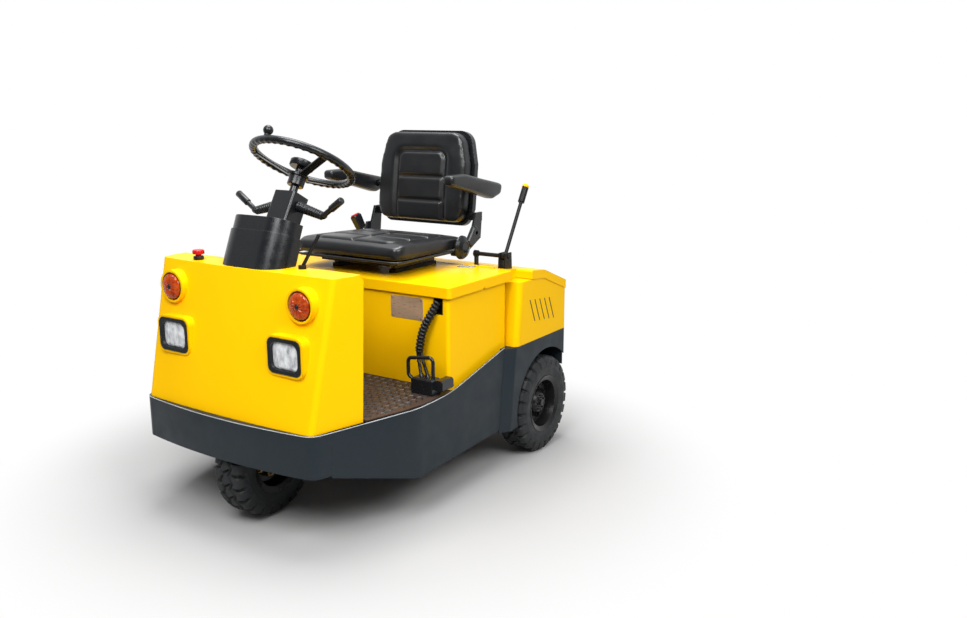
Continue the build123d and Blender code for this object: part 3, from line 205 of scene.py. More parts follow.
# Painted shade: the raised lozenges, the same steel as the plate, are near-black against the plate's lit
# brown
lozenge_shade_look = Look("checker_lozenge_shade", (0.008, 0.0065, 0.006), 0.42)
lozenge_shade_look.vary(30.0, 0.5, (0.030, 0.022, 0.018), 6.0).roughen(50.0, 0.1).grain(300.0, 0.2)

# Near-black plastic; the blue cast of its base colour is a painted reflection tint
plastic = Look("moulded_plastic", (0.0065, 0.0080, 0.0100), 0.26).bevel(0.003)
plastic.vary(5.0, 0.4, (0.011, 0.011, 0.012)).roughen(30.0, 0.06).cells(900.0, 0.02, 0.0003)
plastic.set(Specular_IOR_Level=0.45)

rubber = Look("tyre_rubber", (0.020, 0.022, 0.0235), 0.55)
rubber.vary(9.0, 0.6, (0.027, 0.028, 0.029)).vary(70.0, 0.35, (0.004, 0.004, 0.004), 8.0)
rubber.roughen(30.0, 0.1).grain(500.0, 0.35, 0.0005).set(Specular_IOR_Level=0.25)

# Painted shade: near-black rubber for the faces deep in the tread grooves
groove_shade_look = Look("tread_groove_shade", (0.0012, 0.0012, 0.0013), 0.8)
groove_shade_look.vary(30.0, 0.5, (0.0026, 0.0025, 0.0024)).grain(500.0, 0.3).set(Specular_IOR_Level=0.05)

rim_black = Look("rim_black", (0.007, 0.007, 0.0075), 0.3).bevel(0.002)
rim_black.vary(14.0, 0.5, (0.014, 0.014, 0.014)).edge_wear((0.16, 0.16, 0.16), 0.6, 60.0)
rim_black.roughen(30.0, 0.08).grain(200.0, 0.12).set(Specular_IOR_Level=0.3)

cast = Look("painted_casting", (0.012, 0.012, 0.0125), 0.6).bevel(0.003)
cast.vary(10.0, 0.6, (0.024, 0.023, 0.022)).roughen(20.0, 0.1).grain(180.0, 0.5, 0.001)
cast.set(Specular_IOR_Level=0.25)

steel = Look("bright_steel", (0.56, 0.56, 0.57), 0.3, 1.0)
steel.vary(16.0, 0.4, (0.42, 0.42, 0.43)).roughen(60.0, 0.1, 4.0, (1.0, 12.0, 1.0)).grain(400.0, 0.08)

brass = Look("plated_nut", (0.62, 0.43, 0.16), 0.34, 1.0)
brass.vary(40.0, 0.5, (0.46, 0.33, 0.14)).roughen(70.0, 0.1).grain(300.0, 0.1)

silver_plate = Look("blank_plate", (0.78, 0.58, 0.40), 0.34, 0.6)
silver_plate.vary(12.0, 0.6, (0.34, 0.24, 0.16))
silver_plate.roughen(40.0, 0.1, 4.0, (1.0, 1.0, 18.0)).grain(500.0, 0.06)

vinyl = Look("seat_vinyl", (0.0055, 0.0066, 0.0082), 0.36)
vinyl.vary(4.0, 0.5, (0.010, 0.010, 0.0105)).roughen(18.0, 0.06).cells(520.0, 0.03, 0.0003)
vinyl.set(Specular_IOR_Level=0.6)

piping_look = Look("seat_piping", (0.008, 0.008, 0.0085), 0.36)
piping_look.vary(20.0, 0.5, (0.014, 0.014, 0.015)).grain(600.0, 0.2)

# Headlamp lens coloured as its reflector's reflections: a near-white base with painted dark and bright
# reflection patches
lens = Look("fluted_lens", (0.92, 0.94, 0.96), 0.14, 0.12)
lens.vary(48.0, 0.95, (0.16, 0.18, 0.20), 4.0, (1.0, 1.0, 0.6))
lens.vary(110.0, 0.6, (0.97, 0.98, 1.0), 3.0, (1.0, 2.0, 0.6))
lens.roughen(40.0, 0.05).grain(160.0, 0.12).set(Coat_Weight=0.8, Coat_Roughness=0.04)

amber = Look("amber_lens", (0.42, 0.034, 0.001), 0.16)
# Painted reflections on the amber dome: darker brown patches and bright orange glints on its facets
amber.vary(55.0, 0.8, (0.13, 0.008, 0.001), 2.0).vary(85.0, 0.45, (0.72, 0.13, 0.006), 4.0)
amber.roughen(60.0, 0.04).grain(200.0, 0.05)
amber.set(Specular_IOR_Level=0.3, Coat_Weight=0.15, Coat_Roughness=0.04)

red = Look("red_plastic", (0.50, 0.010, 0.008), 0.3)
red.vary(30.0, 0.4, (0.36, 0.008, 0.006)).roughen(40.0, 0.06).grain(300.0, 0.06)
red.set(Specular_IOR_Level=0.3)

cable = Look("cable_rubber", (0.005, 0.0055, 0.006), 0.28)
cable.vary(40.0, 0.5, (0.013, 0.0125, 0.0125)).roughen(50.0, 0.1).grain(400.0, 0.2)
cable.set(Specular_IOR_Level=0.3)

# Light grey for the painted highlight along the skirt's top edge
edge_highlight_look = Look("skirt_edge_highlight", (0.42, 0.45, 0.48), 0.35)
edge_highlight_look.vary(9.0, 0.5, (0.24, 0.27, 0.30)).roughen(30.0, 0.08).grain(300.0, 0.1)

case = Look("battery_case", (0.020, 0.020, 0.022), 0.55).bevel(0.004)
case.vary(8.0, 0.5, (0.030, 0.029, 0.031)).roughen(20.0, 0.08).grain(300.0, 0.2)
case.set(Specular_IOR_Level=0.3)

LOOKS = {
    "body_yellow": paint, "skirt_grey": grey, "frame_black": black_paint, "checker_plate": plate,
    "black_plastic": plastic, "steel": steel, "cast": cast, "tyre": rubber, "rim_black": rim_black,
    "seat_vinyl": vinyl, "lens_clear": plastic, "lens_amber": amber, "red_button": red,
    "cable_black": cable, "battery_case": case,
}
for part in frame["record"]["subparts"]:
    node = nodes[part["node"]]
    node.data.materials.clear()
    node.data.materials.append(LOOKS[part["material_slot"]].mat)

# Camera at the photograph's viewing angle
yaw, pitch = math.radians(32.853), math.radians(12.194)
look_dir = Vector((-math.cos(yaw) * math.cos(pitch), -math.sin(yaw) * math.cos(pitch),
                   -math.sin(pitch)))
camera_data = bpy.data.cameras.new("camera")
camera_data.lens = 33.39
camera_data.sensor_width = 36.0
camera_data.shift_y = -0.0054
camera = bpy.data.objects.new("camera", camera_data)
camera.location = (2.5972, 2.2163, 1.3656)
camera.rotation_euler = look_dir.to_track_quat("-Z", "Y").to_euler()
scene.collection.objects.link(camera)
scene.camera = camera
scene.view_settings.view_transform = "Standard"


# Routes and tubes
def route_curve(name, route):
    curve = bpy.data.curves.new(name, "CURVE")
    curve.dimensions = "3D"
    spline = curve.splines.new("NURBS")
    spline.points.add(len(route) - 1)
    for point, place in zip(spline.points, route):
        point.co = (*P(*place), 1.0)
    spline.order_u = 3
    spline.use_endpoint_u = True
    spline.resolution_u = 24
    return curve


def curve_points(curve):
    holder = bpy.data.objects.new("route_probe", curve)
    scene.collection.objects.link(holder)
    depsgraph = bpy.context.evaluated_depsgraph_get()
    probe = bpy.data.meshes.new_from_object(holder.evaluated_get(depsgraph))
    points = [v.co.copy() for v in probe.vertices]
    bpy.data.objects.remove(holder)
    bpy.data.meshes.remove(probe)
    return points


def even_points(points, step):
    steps = [(b - a).length for a, b in zip(points, points[1:])]
    lengths = np.concatenate([[0], np.cumsum(steps)])
    spots = np.linspace(0, lengths[-1], max(3, int(lengths[-1] / step)))
    table = np.array([tuple(p) for p in points])
    even = [Vector([np.interp(s, lengths, table[:, k]) for k in range(3)]) for s in spots]
    return even, lengths[-1]


def tube_mesh(name, points, radii, sides=20, closed=False):
    verts, faces = [], []
    count = len(points)
    side = (points[1] - points[0]).normalized().orthogonal().normalized()
    if closed:
        side = Vector((0, 0, 1))
    for i, point in enumerate(points):
        after, before = min(i + 1, count - 1), max(i - 1, 0)
        if closed:
            after, before = (i + 1) % count, i - 1
        ahead = (points[after] - points[before]).normalized()
        side = (side - ahead * side.dot(ahead)).normalized()
        other = ahead.cross(side)
        for k in range(sides):
            turn = 2 * math.pi * k / sides
            verts.append(point + (side * math.cos(turn) + other * math.sin(turn)) * radii[i])
    for i in range(count if closed else count - 1):
        j = (i + 1) % count
        for k in range(sides):
            m = (k + 1) % sides
            faces.append((i * sides + k, i * sides + m, j * sides + m, j * sides + k))
    if not closed:
        faces.append(tuple(reversed(range(sides))))
        faces.append(tuple(range(len(verts) - sides, len(verts))))
    return mesh_from(name, verts, faces)


def tube_piece(name, points, radii, look, body, sides=20, closed=False):
    return add_piece(name, tube_mesh(name, points, radii, sides, closed), look, body)


# Battery lead: the conduit and its two cables follow the part's own route points
CONDUIT_ROUTE = [(588, 434, FLOOR_Z + 313), (606, 420, FLOOR_Z + 273), (617, 394, FLOOR_Z + 224),
                 (621, 379, FLOOR_Z + 172), (622, 376, FLOOR_Z + 135)]
CABLE_ROUTES = [
    [(622, 369, FLOOR_Z + 133.4), (627, 374, FLOOR_Z + 107.5),
     (637, 388, FLOOR_Z + 83.5), (648, 402, FLOOR_Z + 60)],
    [(622, 383, FLOOR_Z + 132.2), (627, 391, FLOOR_Z + 108.5),
     (637, 411, FLOOR_Z + 85), (649, 430, FLOOR_Z + 61)],
]
RIB_PITCH, RIB_LOW_R, RIB_RISE = 0.0135, 0.0092, 0.0064
CONDUIT_STEP, CABLE_STEP, CABLE_R = 0.0011, 0.002, 0.006
conduit_route = route_curve("conduit_route", CONDUIT_ROUTE)
conduit_points, conduit_length = even_points(curve_points(conduit_route), CONDUIT_STEP)
ribs = []
for i in range(len(conduit_points)):
    phase = (i * conduit_length / (len(conduit_points) - 1) / RIB_PITCH) % 1.0
    ribs.append(RIB_LOW_R + RIB_RISE * math.sin(math.pi * phase) ** 0.6)
conduit = tube_piece("conduit_tube", conduit_points, ribs, cable, "chassis")
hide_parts("battery_conduit")
for i, route in enumerate(CABLE_ROUTES):
    lead_route = route_curve(f"lead_route_{i}", route)
    lead_points, lead_length = even_points(curve_points(lead_route), CABLE_STEP)
    lead_radii = [CABLE_R] * len(lead_points)
    lead = tube_piece(f"lead_cable_{i}", lead_points, lead_radii, cable, "chassis")
    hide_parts("battery_cables")


# Forms shared by the small pieces
def bolt_ring(name, spots, axis, size, look, body):
    """Washer, head and end of a bolt at each spot; size is its radius, height and sides."""
    radius, height, sides = size
    bm = bmesh.new()
    axis = Vector(axis).normalized()
    turn = axis.to_track_quat("Z", "Y").to_matrix().to_4x4()
    for spot in spots:
        for r, low, high in ((radius * 1.35, 0, height * 0.25), (radius, height * 0.2, height * 0.85),
                             (radius * 0.8, height * 0.8, height)):
            washer = r > radius
            place = Matrix.Translation(Vector(spot) + axis * (low + high) / 2) @ turn
            bmesh.ops.create_cone(bm, cap_ends=True, segments=24 if washer else sides, radius1=r,
                                  radius2=r * (0.96 if washer else 0.9), depth=high - low, matrix=place)
    return add_piece(name, mesh_from_bm(name, bm), look, body, False)


def rounded_loop(width, height, radius, steps=6):
    points = []
    reach_x, reach_y = width / 2 - radius, height / 2 - radius
    for cx, cy, start in ((reach_x, reach_y, 0), (-reach_x, reach_y, 90),
                          (-reach_x, -reach_y, 180), (reach_x, -reach_y, 270)):
        for k in range(steps + 1):
            turn = math.radians(start + 90 * k / steps)
            points.append((cx + radius * math.cos(turn), cy + radius * math.sin(turn)))
    return points


def circle(radius, steps=40):
    turns = [2 * math.pi * k / steps for k in range(steps)]
    return [(radius * math.cos(t), radius * math.sin(t)) for t in turns]


def stacked(name, origin, u, v, n, loops):
    """A closed form from loops of (points, height) set along n."""
    verts, faces = [], []
    count = len(loops[0][0])
    for points, height in loops:
        for a, b in points:
            verts.append(origin + u * (a / 1000) + v * (b / 1000) + n * (height / 1000))
    for i in range(len(loops) - 1):
        for k in range(count):
            a, b = i * count + k, i * count + (k + 1) % count
            faces.append((a, b, b + count, a + count))
    faces.append(tuple(reversed(range(count))))
    faces.append(tuple(range(len(verts) - count, len(verts))))
    return mesh_from(name, verts, faces)


def stacked_piece(name, origin, axes, loops, look, body):
    return add_piece(name, stacked(name, origin, *axes, loops), look, body, False)


def joined(name, meshes):
    bm = bmesh.new()
    for mesh in meshes:
        bm.from_mesh(mesh)
        bpy.data.meshes.remove(mesh)
    return mesh_from_bm(name, bm)


# Lamps: rippled lenses in their black frames, and faceted amber domes with a dark middle
HEAD_X, HEAD_Y, HEAD_Z = 1155.64, 258.0, 623.0
HEAD_SET_BACK, HEAD_BULGE, HEAD_RIPPLE = 9.5, 6.0, 0.9
HEAD_HALF_WIDE, HEAD_HALF_HIGH = 57.2, 44.4
LENS_ROWS, LENS_COLUMNS = 61, 41
TURN_X, TURN_Y, TURN_Z = 1120.62, 296.0, 780.0
# Radius and height of each ring of the dome, from its middle out and back under it
DOME_RINGS = [(0, 12.6), (6, 12.4), (8.5, 10.2), (10, 12.0), (18, 12.4), (26, 11.0), (33, 8.6), (38.5, 5.6),
              (42, 2.0), (43.4, -1.5), (43.8, -7), (47.9, -7), (47.9, -45), (0, -45)]
DOME_SPOKES, DOME_FACET = 36, 2.4
DOME_DARK_IN, DOME_DARK_OUT = 0.0085, 0.0432


def lens_point(side, a, b):
    """The lens surface at a, b from -1 to 1, drawn in to a rounded square."""
    fit = max(abs(a), abs(b)) / max((abs(a) ** 4 + abs(b) ** 4) ** 0.25, 1e-6)
    a, b = a * fit, b * fit
    bulge = HEAD_BULGE * (1 - a * a) * (1 - b * b) ** 0.5
    wave = math.sin(8.3 * a + 3.1 * b) * math.sin(5.7 * b - 2.2 * a)
    ripple = (HEAD_RIPPLE * wave + HEAD_RIPPLE) * (1 - b ** 6) * (1 - a ** 6)
    return P(HEAD_X - HEAD_SET_BACK + bulge + ripple, side * HEAD_Y + a * HEAD_HALF_WIDE,
             HEAD_Z + b * HEAD_HALF_HIGH)


for side, tag in SIDES:
    verts, faces = [], []
    for i in range(LENS_ROWS):
        for j in range(LENS_COLUMNS):
            verts.append(lens_point(side, i / (LENS_ROWS - 1) * 2 - 1, j / (LENS_COLUMNS - 1) * 2 - 1))
    for i in range(LENS_ROWS - 1):
        for j in range(LENS_COLUMNS - 1):
            a, b = i * LENS_COLUMNS + j, (i + 1) * LENS_COLUMNS + j
            faces.append((a, b, b + 1, a + 1))
    name = f"headlamp_lens_{tag}"
    add_piece(name, mesh_from(name, verts, faces), lens, "chassis")
    verts, faces = [], []
    for r, h in DOME_RINGS:
        for k in range(DOME_SPOKES):
            turn = 2 * math.pi * k / DOME_SPOKES
            lift = DOME_FACET * (k % 3 == 0) if 9 < r < 42 else 0.0
            verts.append(P(TURN_X + h - lift, side * TURN_Y + r * math.cos(turn),
                           TURN_Z + r * math.sin(turn)))
    for i in range(len(DOME_RINGS) - 1):
        for k in range(DOME_SPOKES):
            a, b = i * DOME_SPOKES + k, i * DOME_SPOKES + (k + 1) % DOME_SPOKES
            faces.append((a, b, b + DOME_SPOKES, a + DOME_SPOKES))
    name = f"indicator_lens_{tag}"
    dome = add_piece(name, mesh_from(name, verts, faces), amber, "chassis", False)
    dome.data.materials.append(plastic.mat)
    for face in dome.data.polygons:
        off = math.hypot(face.center.y - side * TURN_Y / 1000, face.center.z - TURN_Z / 1000)
        if off < DOME_DARK_IN or off > DOME_DARK_OUT:
            face.material_index = 1
    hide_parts("indicator_lamps")


# Tyres with road tread
def smooth_section(points, count):
    table = np.array(points, float)
    run = np.concatenate([[0], np.cumsum(np.linalg.norm(np.diff(table, axis=0), axis=1))])
    spots = np.linspace(0, run[-1], count)
    return np.stack([np.interp(spots, run, table[:, k]) for k in range(2)], 1)


# Radius and offset along the axle, from one bead to the middle of the tread, then mirrored
HALF_SECTION = [(104, -46), (110, -52), (117, -56.4), (121, -58.2), (124, -57.6), (134, -59.4), (146, -60),
                (150, -60.9), (154, -60), (168, -59.4), (180, -57.2), (188, -53.4), (192.6, -48), (195, -40),
                (WHEEL_R, -26), (WHEEL_R, 0)]
SECTION = HALF_SECTION + [(r, -a) for r, a in reversed(HALF_SECTION[:-1])]
SECTION_POINTS = 92
PITCHES, STEPS_PER_PITCH, PITCH_LENGTH = 24, 24, 51.3
TREAD_DEPTH, SHOULDER_DEPTH = 12.0, 9.0
GROOVE_SHARE = 0.4
# Two zigzag grooves, side grooves half a pitch apart, and slanted cuts over the middle rib; each pair of
# numbers is where a groove's edge starts and ends
ZIG_MIDDLE, ZIG_SWAY, ZIG_EDGE = 18.5, 13.0, (2.6, 4.8)
SIDE_START, SIDE_EDGE = (23, 27), (5.6, 8.0)
RIB_END, RIB_EDGE, RIB_PHASE, RIB_SLANT = (13, 17), (2.0, 4.0), 0.25, 0.012
TREAD_RADII, SHOULDER_RADII, SHOULDER_START = (170, 190), (158, 172), (46, 54)


def ease(value, low, high):
    share = np.clip((value - low) / (high - low), 0, 1)
    return share * share * (3 - 2 * share)


def pitch_gap(along):
    """Distance round the tread from the nearest start of a pitch."""
    return np.abs(((along + 0.5) % 1) - 0.5) * PITCH_LENGTH


def tyre_mesh(name, centre, axle, ahead):
    line = smooth_section(SECTION, SECTION_POINTS)
    around = PITCHES * STEPS_PER_PITCH
    turn = np.arange(around) / around * 2 * np.pi
    r = np.repeat(line[:, 0][None], around, 0)
    a = np.repeat(line[:, 1][None], around, 0)
    along = np.repeat((turn / (2 * np.pi) * PITCHES)[:, None], len(line), 1)
    zig = 2 * np.abs((along % 1) - 0.5) - 0.5
    groove = np.zeros_like(r)
    for sign, phase in ((-1, 0.5), (1, 0.0)):
        off = np.abs(a - sign * ZIG_MIDDLE + sign * ZIG_SWAY * zig)
        groove = np.maximum(groove, 1 - ease(off, *ZIG_EDGE))
        gap = pitch_gap(along + phase)
        groove = np.maximum(groove, ease(sign * a, *SIDE_START) * (1 - ease(gap, *SIDE_EDGE)))
    gap = pitch_gap(along + RIB_PHASE + RIB_SLANT * a)
    groove = np.maximum(groove, (1 - ease(np.abs(a), *RIB_END)) * (1 - ease(gap, *RIB_EDGE)))
    cut = groove * ease(r, *TREAD_RADII)
    side_cut = groove * ease(r, *SHOULDER_RADII) * ease(np.abs(a), *SHOULDER_START)
    r = r - TREAD_DEPTH * cut
    a = a - np.sign(a) * SHOULDER_DEPTH * side_cut
    up = np.array(axle.cross(ahead))
    outward = np.cos(turn)[:, None, None] * np.array(ahead) + np.sin(turn)[:, None, None] * up
    place = np.array(centre) + (r / 1000)[..., None] * outward + (a / 1000)[..., None] * np.array(axle)
    count = len(line)
    faces = []
    for i in range(around):
        j = (i + 1) % around
        for k in range(count - 1):
            faces.append((i * count + k, j * count + k, j * count + k + 1, i * count + k + 1))
        faces.append((i * count + count - 1, j * count + count - 1, j * count, i * count))
    mesh = joined(name, [mesh_from(name, place.reshape(-1, 3), faces)])
    # Faces deep in the grooves take the darker material, painted shade in the recesses
    deep = np.maximum(cut, side_cut)
    deep = (deep + np.roll(deep, -1, 0)) / 2
    deep = (deep + np.roll(deep, -1, 1)) / 2
    mesh.polygons.foreach_set("material_index", (deep > GROOVE_SHARE).astype(np.int32).ravel())
    return mesh


# Each wheel: its tyre's node, centre, axle, way ahead and which way along the axle is out
STEER_REST = math.radians(4.0)
REAR_X, REAR_Y = -12, 476
WHEELS = {
    "front_wheel": ("front_tyre", P(1010, 0, WHEEL_R),
                    Vector((-math.sin(STEER_REST), math.cos(STEER_REST), 0)),
                    Vector((math.cos(STEER_REST), math.sin(STEER_REST), 0)), 1),
    "rear_wheel_left": ("rear_tyre_left", P(REAR_X, REAR_Y, WHEEL_R), Y, X, 1),
    "rear_wheel_right": ("rear_tyre_right", P(REAR_X, -REAR_Y, WHEEL_R), Y, X, -1),
}
HUB_FACE = 0.0325
NUT, HUB_BOLT, HUB_CAP = (0.0085, 0.016, 6), (0.0042, 0.007, 6), (0.014, 0.012, 24)
for body, (node, centre, axle, ahead, out) in WHEELS.items():
    name = f"{body}_tread"
    tyre = add_piece(name, tyre_mesh(name, centre, axle, ahead), rubber, body)
    tyre.data.materials.append(groove_shade_look.mat)
    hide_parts(node)
    up = axle.cross(ahead)
    front = body == "front_wheel"
    outer = axle * out

    def ring_spots(count, ring, height):
        turns = [2 * math.pi * (k + 0.5) / count for k in range(count)]
        return [centre + (ahead * math.cos(t) + up * math.sin(t)) * ring + outer * height for t in turns]

    nuts = ring_spots(6, 0.060, 0.009) if front else ring_spots(8, 0.066, 0.004)
    bolt_ring(f"{body}_nuts", nuts, outer, NUT, brass if front else black_paint, body)
    hub_bolts = ring_spots(10, 0.030, HUB_FACE)
    bolt_ring(f"{body}_hub_bolts", hub_bolts, outer, HUB_BOLT, rim_black, body)
    bolt_ring(f"{body}_hub_cap", [centre + outer * HUB_FACE], outer, HUB_CAP, brass if front else rim_black,
              body)


# Padded seat: each pad swells by cloth simulation, then gets its sewn lines
VOXEL = 0.0055
CLOTH_FRAMES = 20
SPREAD_PASSES, SMOOTH_PASSES = 150, 11


def swell(holder):
    """Where the cloth's points come to rest under pressure."""
    cloth = holder.modifiers.new("cloth", "CLOTH")
    cloth.settings.quality = 4
    cloth.settings.use_pressure = True
    cloth.settings.uniform_pressure_force = 4.0
    cloth.settings.effector_weights.gravity = 0.0
    cloth.settings.vertex_group_mass = "rest"
    cloth.settings.tension_stiffness = 18.0
    cloth.settings.bending_stiffness = 2.0
    cloth.point_cache.frame_end = CLOTH_FRAMES
    for step in range(1, CLOTH_FRAMES + 1):
        scene.frame_set(step)
    result = holder.evaluated_get(bpy.context.evaluated_depsgraph_get()).data
    moved = np.array([v.co for v in result.vertices])
    scene.frame_set(1)
    return moved


def spread(mesh, shift):
    """The shift of each point, evened out along the mesh's edges."""
    ends = np.array([tuple(e.vertices) for e in mesh.edges])
    share = np.bincount(ends.ravel(), minlength=len(shift))[:, None]
    both = np.concatenate([ends, ends[:, ::-1]])
    for _ in range(SPREAD_PASSES):
        total = [np.bincount(both[:, 0], shift[both[:, 1], k], len(shift)) for k in range(3)]
        shift = 0.3 * shift + 0.7 * np.stack(total, 1) / share
    return shift


def puff(node, name, body, shrink, cap, seams, pinned):
    source = nodes[node].data.copy()
    holder = bpy.data.objects.new(name + "_form", source)
    scene.collection.objects.link(holder)
    co = np.array([v.co for v in source.vertices])
    low, high = co.min(0), co.max(0)
    middle, size = (low + high) / 2, high - low
    for v in source.vertices:
        v.co = Vector(middle + (np.array(v.co) - middle) * (1 - 2 * shrink / 1000 / size))
    remesh = holder.modifiers.new("voxels", "REMESH")
    remesh.mode = "VOXEL"
    remesh.voxel_size = VOXEL
    depsgraph = bpy.context.evaluated_depsgraph_get()
    mesh = bpy.data.meshes.new_from_object(holder.evaluated_get(depsgraph))
    bpy.data.objects.remove(holder)
    holder = bpy.data.objects.new(name + "_cloth", mesh)
    scene.collection.objects.link(holder)
    start = np.array([v.co for v in mesh.vertices])
    group = holder.vertex_groups.new(name="rest")
    group.add([i for i, v in enumerate(start) if pinned(v)], 1.0, "REPLACE")
    moved = swell(holder)
    shift = moved - start
    far = np.linalg.norm(shift, axis=1, keepdims=True)
    shift = spread(mesh, shift * np.minimum(1.0, cap / 1000 / np.maximum(far, 1e-9)))
    bpy.data.objects.remove(holder)
    for v, place in zip(mesh.vertices, start + shift):
        v.co = place
    mesh.update()
    bm = bmesh.new()
    bm.from_mesh(mesh)
    for _ in range(SMOOTH_PASSES):
        bmesh.ops.smooth_vert(bm, verts=bm.verts, factor=0.5,
                              use_axis_x=True, use_axis_y=True, use_axis_z=True)
    bm.to_mesh(mesh)
    bm.free()
    mesh.update()
    normals = np.array([v.normal for v in mesh.vertices])
    place = np.array([v.co for v in mesh.vertices])
    place = place - normals * seams(place, normals)[:, None] / 1000
    for v, spot in zip(mesh.vertices, place):
        v.co = spot
    piece = add_piece(name, mesh, vinyl, body)
    finer = piece.modifiers.new("finer", "SUBSURF")
    finer.levels = 1
    finer.render_levels = 1
    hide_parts(node)


def line_dent(distance, depth, width):
    return depth * np.exp(-(distance / width) ** 2)


def box_distance(u, v, half_u, half_v, corner):
    du, dv = np.abs(u) - half_u + corner, np.abs(v) - half_v + corner
    outside = np.sqrt(np.maximum(du, 0) ** 2 + np.maximum(dv, 0) ** 2)
    return outside + np.minimum(np.maximum(du, dv), 0) - corner


CUSHION_X, CUSHION_LOW_Z = 363.5, 827.0
BACK_X, BACK_Z, BACK_LEAN = 130.0, 917.0, math.radians(8.5)
ARM_Y = 296.5
# Sewn panels as half sizes and corner radius, the lines across them, and each line's depth and width
CUSHION_PANEL, CUSHION_LINES, CUSHION_RIM_Z = (168, 190, 40), (-57, 57), 17
BACK_PANEL, BACK_PANEL_MIDDLE, BACK_LINES = (116, 190, 34), 100, (92, 188)
ARM_LINE = 21.0
EDGE_DEPTH, LINE_WIDTH = 12.0, 7.0
CUSHION_LINE, BACK_LINE = (11.0, LINE_WIDTH), (10.0, LINE_WIDTH)
RIM_LINE, ARM_DENT = (2.5, 4.0), (1.6, 2.6)
BACK_EDGE_OUT, BACK_EDGE_IN = 14.0, 6.5
# How far up from the cushion's bottom, and behind the backrest's middle, the pads are held
CUSHION_HELD, BACK_HELD = 13, -46


def cushion_seams(place, normals):
    u = (place[:, 0] * 1000 + REAR_MARK) - CUSHION_X
    v = place[:, 1] * 1000
    top = ease(normals[:, 2], 0.35, 0.8)
    edge = box_distance(u, v, *CUSHION_PANEL)
    dent = line_dent(edge, EDGE_DEPTH, LINE_WIDTH)
    inside = ease(-edge, 0, 12)
    dent = np.maximum(dent, inside * line_dent(v, *CUSHION_LINE))
    for cross in CUSHION_LINES:
        dent = np.maximum(dent, inside * line_dent(u - cross, *CUSHION_LINE))
    over_rim = place[:, 2] * 1000 - CUSHION_LOW_Z - CUSHION_RIM_Z
    return top * dent + line_dent(over_rim, *RIM_LINE) * (1 - top)


def back_seams(place, normals):
    ahead = place[:, 0] * 1000 + REAR_MARK - BACK_X
    height = (place[:, 2] * 1000 - BACK_Z) * math.cos(BACK_LEAN) - ahead * math.sin(BACK_LEAN)
    v = place[:, 1] * 1000
    face = ease(normals[:, 0], 0.3, 0.75)
    edge = box_distance(v, height - BACK_PANEL_MIDDLE, *BACK_PANEL)
    inside = ease(-edge, 0, 10)
    dent = line_dent(edge, EDGE_DEPTH, np.where(edge > 0, BACK_EDGE_OUT, BACK_EDGE_IN))
    for cross in BACK_LINES:
        dent = np.maximum(dent, inside * line_dent(height - cross, *BACK_LINE))
    return face * dent


def arm_seams(place, normals):
    v = np.abs(place[:, 1]) * 1000 - ARM_Y
    return line_dent(np.abs(v) - ARM_LINE, *ARM_DENT) * ease(np.abs(normals[:, 2]), 0.3, 0.7)


def under_cushion(p):
    return p[2] * 1000 < CUSHION_LOW_Z + CUSHION_HELD


def behind_pad(p):
    ahead = p[0] * 1000 + REAR_MARK - BACK_X
    return ahead * math.cos(BACK_LEAN) + (p[2] * 1000 - BACK_Z) * math.sin(BACK_LEAN) < BACK_HELD


puff("seat_cushion", "cushion_vinyl", "seat", 9, 12, cushion_seams, under_cushion)
puff("backrest_pad", "backrest_vinyl", "backrest", 8, 10, back_seams, behind_pad)
for _, tag in SIDES:
    arm = f"armrest_{tag}"
    puff(arm, f"{arm}_vinyl", arm, 4, 5, arm_seams, lambda p: False)

# Checker plate: staggered raised lozenges, clear of the skirt and the steering housing
LOZENGE_ROWS = (606.0, 980.0, 16.5)
LOZENGE_REACH, LOZENGE_PITCH = 476.0, 34.0
LOZENGE_HALF_LONG, LOZENGE_HALF_WIDE, LOZENGE_HIGH = 0.0145, 0.0056, 0.0026
LOZENGE_TURN, LOZENGE_TOP = 35.0, 0.6
SKIRT_IN_Y, SKIRT_BEND_X, SKIRT_DRAW_IN = 482.0, 770.0, 0.29
HOUSING_X, HOUSING_Y = 876.0, 144.0
bm = bmesh.new()
row = 0
x, last_x, row_pitch = LOZENGE_ROWS
while x < last_x:
    odd = row % 2
    y = -LOZENGE_REACH + (LOZENGE_PITCH / 2 if odd else 0.0)
    turn = math.radians(LOZENGE_TURN if odd else -LOZENGE_TURN)
    along = Vector((math.cos(turn), math.sin(turn), 0)) * LOZENGE_HALF_LONG
    across = Vector((-math.sin(turn), math.cos(turn), 0)) * LOZENGE_HALF_WIDE
    while y < LOZENGE_REACH:
        reach = SKIRT_IN_Y - max(0.0, x - SKIRT_BEND_X) * SKIRT_DRAW_IN
        housing = x > HOUSING_X and abs(y) < HOUSING_Y
        if abs(y) < reach and not housing:
            base = P(x, y, FLOOR_Z)
            ring = [base + along, base + across, base - along, base - across]
            low = [bm.verts.new(p) for p in ring]
            high = [bm.verts.new(base + (p - base) * LOZENGE_TOP + Z * LOZENGE_HIGH) for p in ring]
            bm.faces.new(high)
            for k in range(4):
                bm.faces.new((low[k], low[(k + 1) % 4], high[(k + 1) % 4], high[k]))
        y += LOZENGE_PITCH
    x += row_pitch
    row += 1
add_piece("floor_lozenges", mesh_from_bm("floor_lozenges", bm), lozenge_shade_look, "chassis",
          False)

# Blank data plate with rivets on the battery box
RIVET, SCREW, RECLINER_KNOB = (0.0032, 0.0026, 16), (0.0036, 0.0028, 16), (0.011, 0.016, 20)
plate_origin = P(588.0, 297.5, 678.5)
outline = rounded_loop(143, 81, 6)
plate_loops = [(outline, 0.0), (outline, 0.9), (rounded_loop(141.4, 79.4, 5.4), 1.3)]
stacked_piece("blank_data_plate", plate_origin, (Y, Z, X), plate_loops, silver_plate, "chassis")
rivets = [plate_origin + Y * (a * 0.064) + Z * (b * 0.033) + X * 0.0012 for a in (-1, 1) for b in (-1, 1)]
bolt_ring("data_plate_rivets", rivets, X, RIVET, steel, "chassis")

